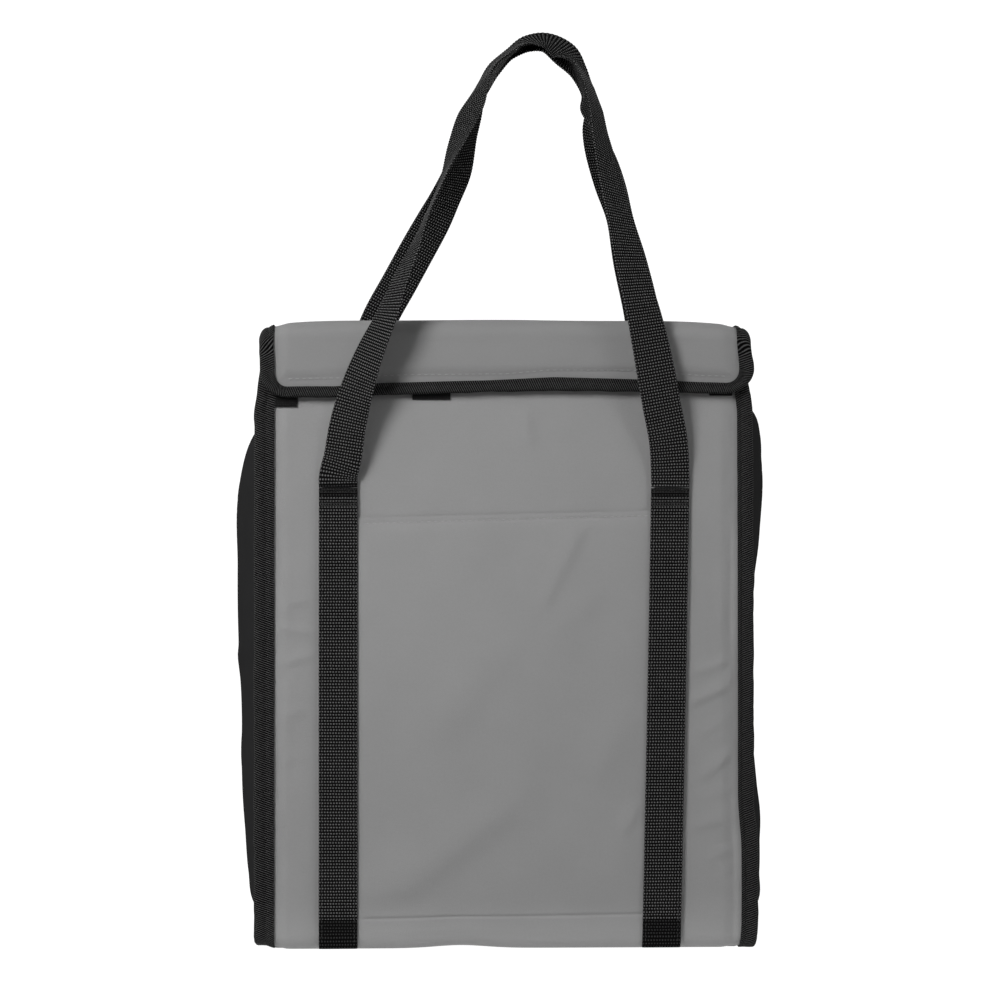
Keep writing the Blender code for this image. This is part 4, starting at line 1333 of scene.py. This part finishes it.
class TOTE_OT_patches(Operator):
    """Sew the closure patches under the flap"""

    bl_idname = "tote.patches"
    bl_label = "Closure patches"

    def execute(self, context):
        def place(across, run):
            return settle(panel_place(-1, across, run, GAP + PATCH + panel_relief(-1, across, run)))

        for label, from_middle, width, below in PATCHES:
            half = width * STRAP_WIDTH / 2
            middle = from_middle * BAG_WIDTH / 2
            foot = LID_HEIGHT - FLAP_DROP - below * PATCH_HEIGHT - BASE_RADIUS
            columns = spread((middle - half, middle + half, 0.0012))
            rows = spread((foot, foot + PATCH_HEIGHT, 0.0012))
            piece = lay_grid(f"hook_patch_{label}", columns, rows, place, (0, -1, 0))
            thicken(piece, PATCH, 0.00025)
            dress(piece, finish_of("closure_tape"), "closure_tape", f"closure_patch_{label}")
        return {"FINISHED"}


def sew(name, slot, finish, rows, pitch, long, thick, proud=-0.1):
    """Rows of stitches as one mesh. Each row is a function from shares of the row, and a lift, to points.

    A stitch is this long and thick. proud is how far its middle stands over the cloth, in its thicknesses.
    """
    points, tangents, normals = [], [], []
    for row in rows:
        fine = np.linspace(0.0, 1.0, 600)
        lengths = path_lengths(row(fine, 0.0))
        count = max(1, int(lengths[-1] / pitch))
        at = np.interp((np.arange(count) + 0.5) * lengths[-1] / count, lengths, fine)
        here = row(at, 0.0)
        points.append(here)
        tangents.append(unit(row(np.minimum(at + 0.002, 1.0), 0.0) - row(np.maximum(at - 0.002, 0.0), 0.0)))
        normals.append(unit(row(at, 0.0005) - here))
    points, tangents, normals = (np.concatenate(v)[:, None, :] for v in (points, tangents, normals))
    deselect()
    bpy.ops.mesh.primitive_ico_sphere_add(subdivisions=1, radius=0.5)
    piece = named(name)
    one = points_of(piece.data) * 2
    # One stitch is modelled, repeated, and then each copy takes its place in its row.
    copies = piece.modifiers.new("stitches", "ARRAY")
    copies.count = len(points)
    bpy.ops.object.modifier_apply(modifier=copies.name)
    shaped = (
        points
        + tangents * one[:, 0:1] * long / 2
        + unit(np.cross(normals, tangents)) * one[:, 1:2] * thick / 2
        + normals * (one[:, 2:3] * 0.5 + proud) * thick
    )
    shape(piece.data, shaped, np.tile(one[:, :2] * (long / 2, thick / 2), (len(points), 1)))
    dress(piece, finish_of(finish), slot, smooth=80)


def hem_row(share, lift):
    """Along the pocket's hem."""
    half = STRAP_SPACING / 2 - STRAP_WIDTH / 2
    left, right = 0.004 - half, half - 0.001
    low, high = (POCKET_TOP + end * POCKET_TILT / 2 - HEM_STITCH for end in (-1, 1))
    across = left + (right - left) * share
    run = low + (high - low) * share - BASE_RADIUS
    return settle(panel_place(-1, across, run, pocket_lift(across, run) + lift))


def flap_row(share, lift):
    """Along the flap, over its tape."""
    across = (share - 0.5) * (LID_WIDTH - 2 * LID_TAPE_WIDTH - 0.016)
    along = flap_stitch(across)
    return lid_place(across, along, lid_relief(across, along) + lift)


def back_row(share, lift):
    """Along the lid's back seam."""
    across = (share - 0.5) * (LID_WIDTH - 2 * LID_TAPE_WIDTH - 0.004)
    along = np.full(len(share), 0.0035)
    return lid_place(across, along, lid_relief(across, along) + lift)


def body_tape_row(hand):
    """Along the groove of a body tape, from the front top round to the back."""
    high = tape_section(BODY_TAPE_WIDTH)[0][1]

    def row(share, lift):
        place = share * (TAPE_ROWS - 1)
        low = np.floor(place).astype(int)
        part = (place - low)[:, None]
        reach = np.full(len(share), -BODY_TAPE_WIDTH * TAPE_GROOVE)
        ends = []
        for at in (low, np.minimum(low + 1, TAPE_ROWS - 1)):
            swell = tape_roll(reach, 0.0, BODY_TAPE_WIDTH) * on_wall(at)
            ends.append(body_tape_place(hand, reach, high + swell + lift, at))
        return ends[0] * (1 - part) + ends[1] * part

    return row


def lid_tape_row(share, lift):
    """Along the groove of the lid's tape."""
    edge = lid_edge()
    place = share * (len(edge) - 1)
    here = np.stack([np.interp(place, np.arange(len(edge)), values) for values in edge.T], axis=-1)
    reach = -LID_TAPE_WIDTH * TAPE_GROOVE
    high = tape_section(LID_TAPE_WIDTH)[0][1]
    roll = LID_TAPE_ROLL * tape_roll(np.array(reach), 0.0, LID_TAPE_WIDTH)
    return lid_tape_place(here, reach * lid_tape_share(here), high + roll + lift)


def strap_row(spine, edge):
    """Along one edge of a sewn strap."""

    def row(share, lift):
        middle, sideways, outward = spine(0.004 + share * (STRAP_LENGTH - 0.005))
        reach = edge * (STRAP_WIDTH / 2 - 0.0021)
        return middle + sideways * reach + outward * (STRAP / 2 + lift - 0.00008)

    return row


def tack_row(spine, below):
    """Across a sewn strap, at a distance below its upper end."""
    at = STRAP_LENGTH - below

    def row(share, lift):
        middle, sideways, outward = (vectors[1] for vectors in spine(np.array((at - MM, at, at + MM))))
        reach = (share - 0.5) * (STRAP_WIDTH - 0.002)
        return middle + sideways * reach[:, None] + outward * (STRAP / 2 + lift - 0.0002)

    return row


class TOTE_OT_stitches(Operator):
    """Sew the visible rows of stitches"""

    bl_idname = "tote.stitches"
    bl_label = "Stitches"

    def execute(self, context):
        weave = context.scene.tote_weave
        thread, hem, stitch = weave.thread, weave.hem_pitch, weave.tape_stitch
        spines = [strap_spine(side, hand) for _, side in SIDES for _, hand in HANDS]
        tape_rows = [body_tape_row(-1), body_tape_row(1), lid_tape_row]
        strap_rows = [strap_row(spine, edge) for spine in spines for edge in (-1, 1)]
        tack_rows = [tack_row(spine, below) for spine in spines for below in TACKS]
        pale, dark = "pale_thread", "dark_thread"
        lid_rows = [flap_row, back_row]
        sew("hem_stitches", "shell_fabric", pale, [hem_row], hem, HEM_STITCH_LENGTH, thread * 1.2, 0.12)
        sew("lid_stitches", "shell_fabric", pale, lid_rows, hem, LID_STITCH_LENGTH, thread * 0.9)
        sew("tape_stitches", "binding_tape", dark, tape_rows, stitch, TAPE_STITCH_LENGTH, thread)
        sew("strap_stitches", "webbing", dark, strap_rows, stitch, TAPE_STITCH_LENGTH, thread)
        sew("tack_stitches", "webbing", dark, tack_rows, TACK_PITCH, TACK_LENGTH, thread * 1.3)
        return {"FINISHED"}


ROOM_SIDE = 2.6
ROOM_BACK = 3.0
SWEEP_RADIUS = 0.8
ROOM_TOP = 4.0
# Depth and height along the table's front edge, from under it
TABLE_EDGE = [(-1.6, -1.2), (-0.131, -1.2), (-0.13, -1.19), (-0.13, -0.004), (-0.126, 0.0)]
LIGHT_TARGET = (0.0, 0.0, 0.28)
CAMERA_TARGET = (-0.0029, -0.0825, 0.2885)


def add_light(name, location, size, power):
    """A softbox that looks at the bag."""
    deselect()
    bpy.ops.object.light_add(type="AREA", location=location)
    light = bpy.context.object
    light.name = name
    light.data.shape = "RECTANGLE"
    light.data.size, light.data.size_y = size
    light.data.energy = power
    x, y, z = np.array(LIGHT_TARGET) - np.array(light.location)
    light.rotation_euler = (math.atan2(math.hypot(x, y), -z), 0.0, math.atan2(-x, y))


def build_room():
    """A white table whose front edge is just before the bag, in a white room that is open only in front.

    No paper in front of the bag throws light up on it.
    """
    profile = TABLE_EDGE + [(ROOM_BACK, 0.0)]
    for angle in np.radians(np.arange(10, 91, 10)):
        depth = ROOM_BACK + SWEEP_RADIUS * math.sin(angle)
        profile.append((depth, SWEEP_RADIUS - SWEEP_RADIUS * math.cos(angle)))
    profile = np.array(profile + [(ROOM_BACK + SWEEP_RADIUS, ROOM_TOP)])

    def place(across, row):
        return np.stack([across, profile[row, 0], profile[row, 1]], axis=-1)

    walls = [lay_grid("studio_sweep", (-ROOM_SIDE, ROOM_SIDE), np.arange(len(profile)), place)]
    for label, hand in HANDS:
        deselect()
        location = (hand * ROOM_SIDE, 1.1, 1.4)
        bpy.ops.mesh.primitive_plane_add(size=1.0, location=location, rotation=(0, math.pi / 2, 0))
        wall = named(f"studio_wall_{label}")
        wall.scale = (5.2, 5.4, 1.0)
        walls.append(wall)
    take(walls[0])
    bpy.ops.object.shade_smooth_by_angle(angle=math.radians(40))
    finish = Finish("studio_paper")
    grain = finish.cloud(finish.object_place(), 0.004)
    finish.surface(
        base_color=finish.shade((0.12, 0.12, 0.12), 0.99 + grain * 0.02),
        roughness=0.9,
        specular_ior_level=0.0,
        emission_color=(1.0, 1.0, 1.0, 1.0),
        emission_strength=1.0,
    )
    for wall in walls:
        wall.data.materials.append(finish.material)


class TOTE_OT_studio(Operator):
    """Set up the floor, the backdrop, the lights and the camera"""

    bl_idname = "tote.studio"
    bl_label = "Studio"

    def execute(self, context):
        studio = context.scene.tote_studio
        build_room()
        add_light("key_softbox", (-1.00, -1.32, 1.30), (0.6, 0.8), studio.key)
        add_light("fill_softbox", (1.6, -1.5, 1.2), (0.7, 0.9), studio.fill)

        world = bpy.data.worlds.new("studio_air")
        air = Nodes(world)
        background = air.tree.nodes["Background"]
        # The open side looks as white as the walls, and lights the bag far less than they do.
        seen = air.add("ShaderNodeLightPath")["Is Camera Ray"]
        air.fill(background.inputs["Color"], (1.0, 1.0, 1.0, 1.0))
        air.fill(background.inputs["Strength"], seen * (1.0 - studio.sky) + studio.sky)
        context.scene.world = world
        context.scene.view_settings.view_transform = "Standard"

        away = np.array((-math.sin(studio.azimuth), math.cos(studio.azimuth), 0.0))
        deselect()
        bpy.ops.object.camera_add(location=np.array(CAMERA_TARGET) - studio.distance * away)
        camera = context.object
        camera.name = "photo_camera"
        camera.rotation_euler = (math.pi / 2, 0.0, studio.azimuth)
        camera.data.lens = studio.lens
        camera.data.sensor_width = 36.0
        context.scene.camera = camera
        return {"FINISHED"}


class TOTE_PT_sidebar(Panel):
    """Shows the bag's settings and its steps in the 3D view's sidebar."""

    bl_label = "Tote bag"
    bl_idname = "TOTE_PT_sidebar"
    bl_space_type = "VIEW_3D"
    bl_region_type = "UI"
    bl_category = "Tote"

    def draw(self, context):
        for name in SETTINGS:
            settings = getattr(context.scene, name)
            box = self.layout.box()
            for value in settings.__annotations__:
                box.prop(settings, value)
        for operator in OPERATORS:
            self.layout.operator(operator.bl_idname)


SETTINGS = {"tote_cloth": ToteCloth, "tote_weave": ToteWeave, "tote_studio": ToteStudio}
OPERATORS = (
    TOTE_OT_studio,
    TOTE_OT_walls,
    TOTE_OT_gussets,
    TOTE_OT_lid,
    TOTE_OT_pocket,
    TOTE_OT_bindings,
    TOTE_OT_straps,
    TOTE_OT_handles,
    TOTE_OT_patches,
    TOTE_OT_stitches,
)


def register():
    for name, settings in SETTINGS.items():
        bpy.utils.register_class(settings)
        setattr(bpy.types.Scene, name, PointerProperty(type=settings))
    for cls in (*OPERATORS, TOTE_PT_sidebar):
        bpy.utils.register_class(cls)


def unregister():
    for cls in reversed((*OPERATORS, TOTE_PT_sidebar)):
        bpy.utils.unregister_class(cls)
    for name, settings in SETTINGS.items():
        delattr(bpy.types.Scene, name)
        bpy.utils.unregister_class(settings)


def main():
    register()
    bpy.ops.tote.studio()
    bpy.ops.tote.walls()
    bpy.ops.tote.gussets()
    bpy.ops.tote.lid()
    bpy.ops.tote.pocket()
    bpy.ops.tote.bindings()
    bpy.ops.tote.straps()
    bpy.ops.tote.handles()
    bpy.ops.tote.patches()
    bpy.ops.tote.stitches()


if __name__ == "__main__":
    main()
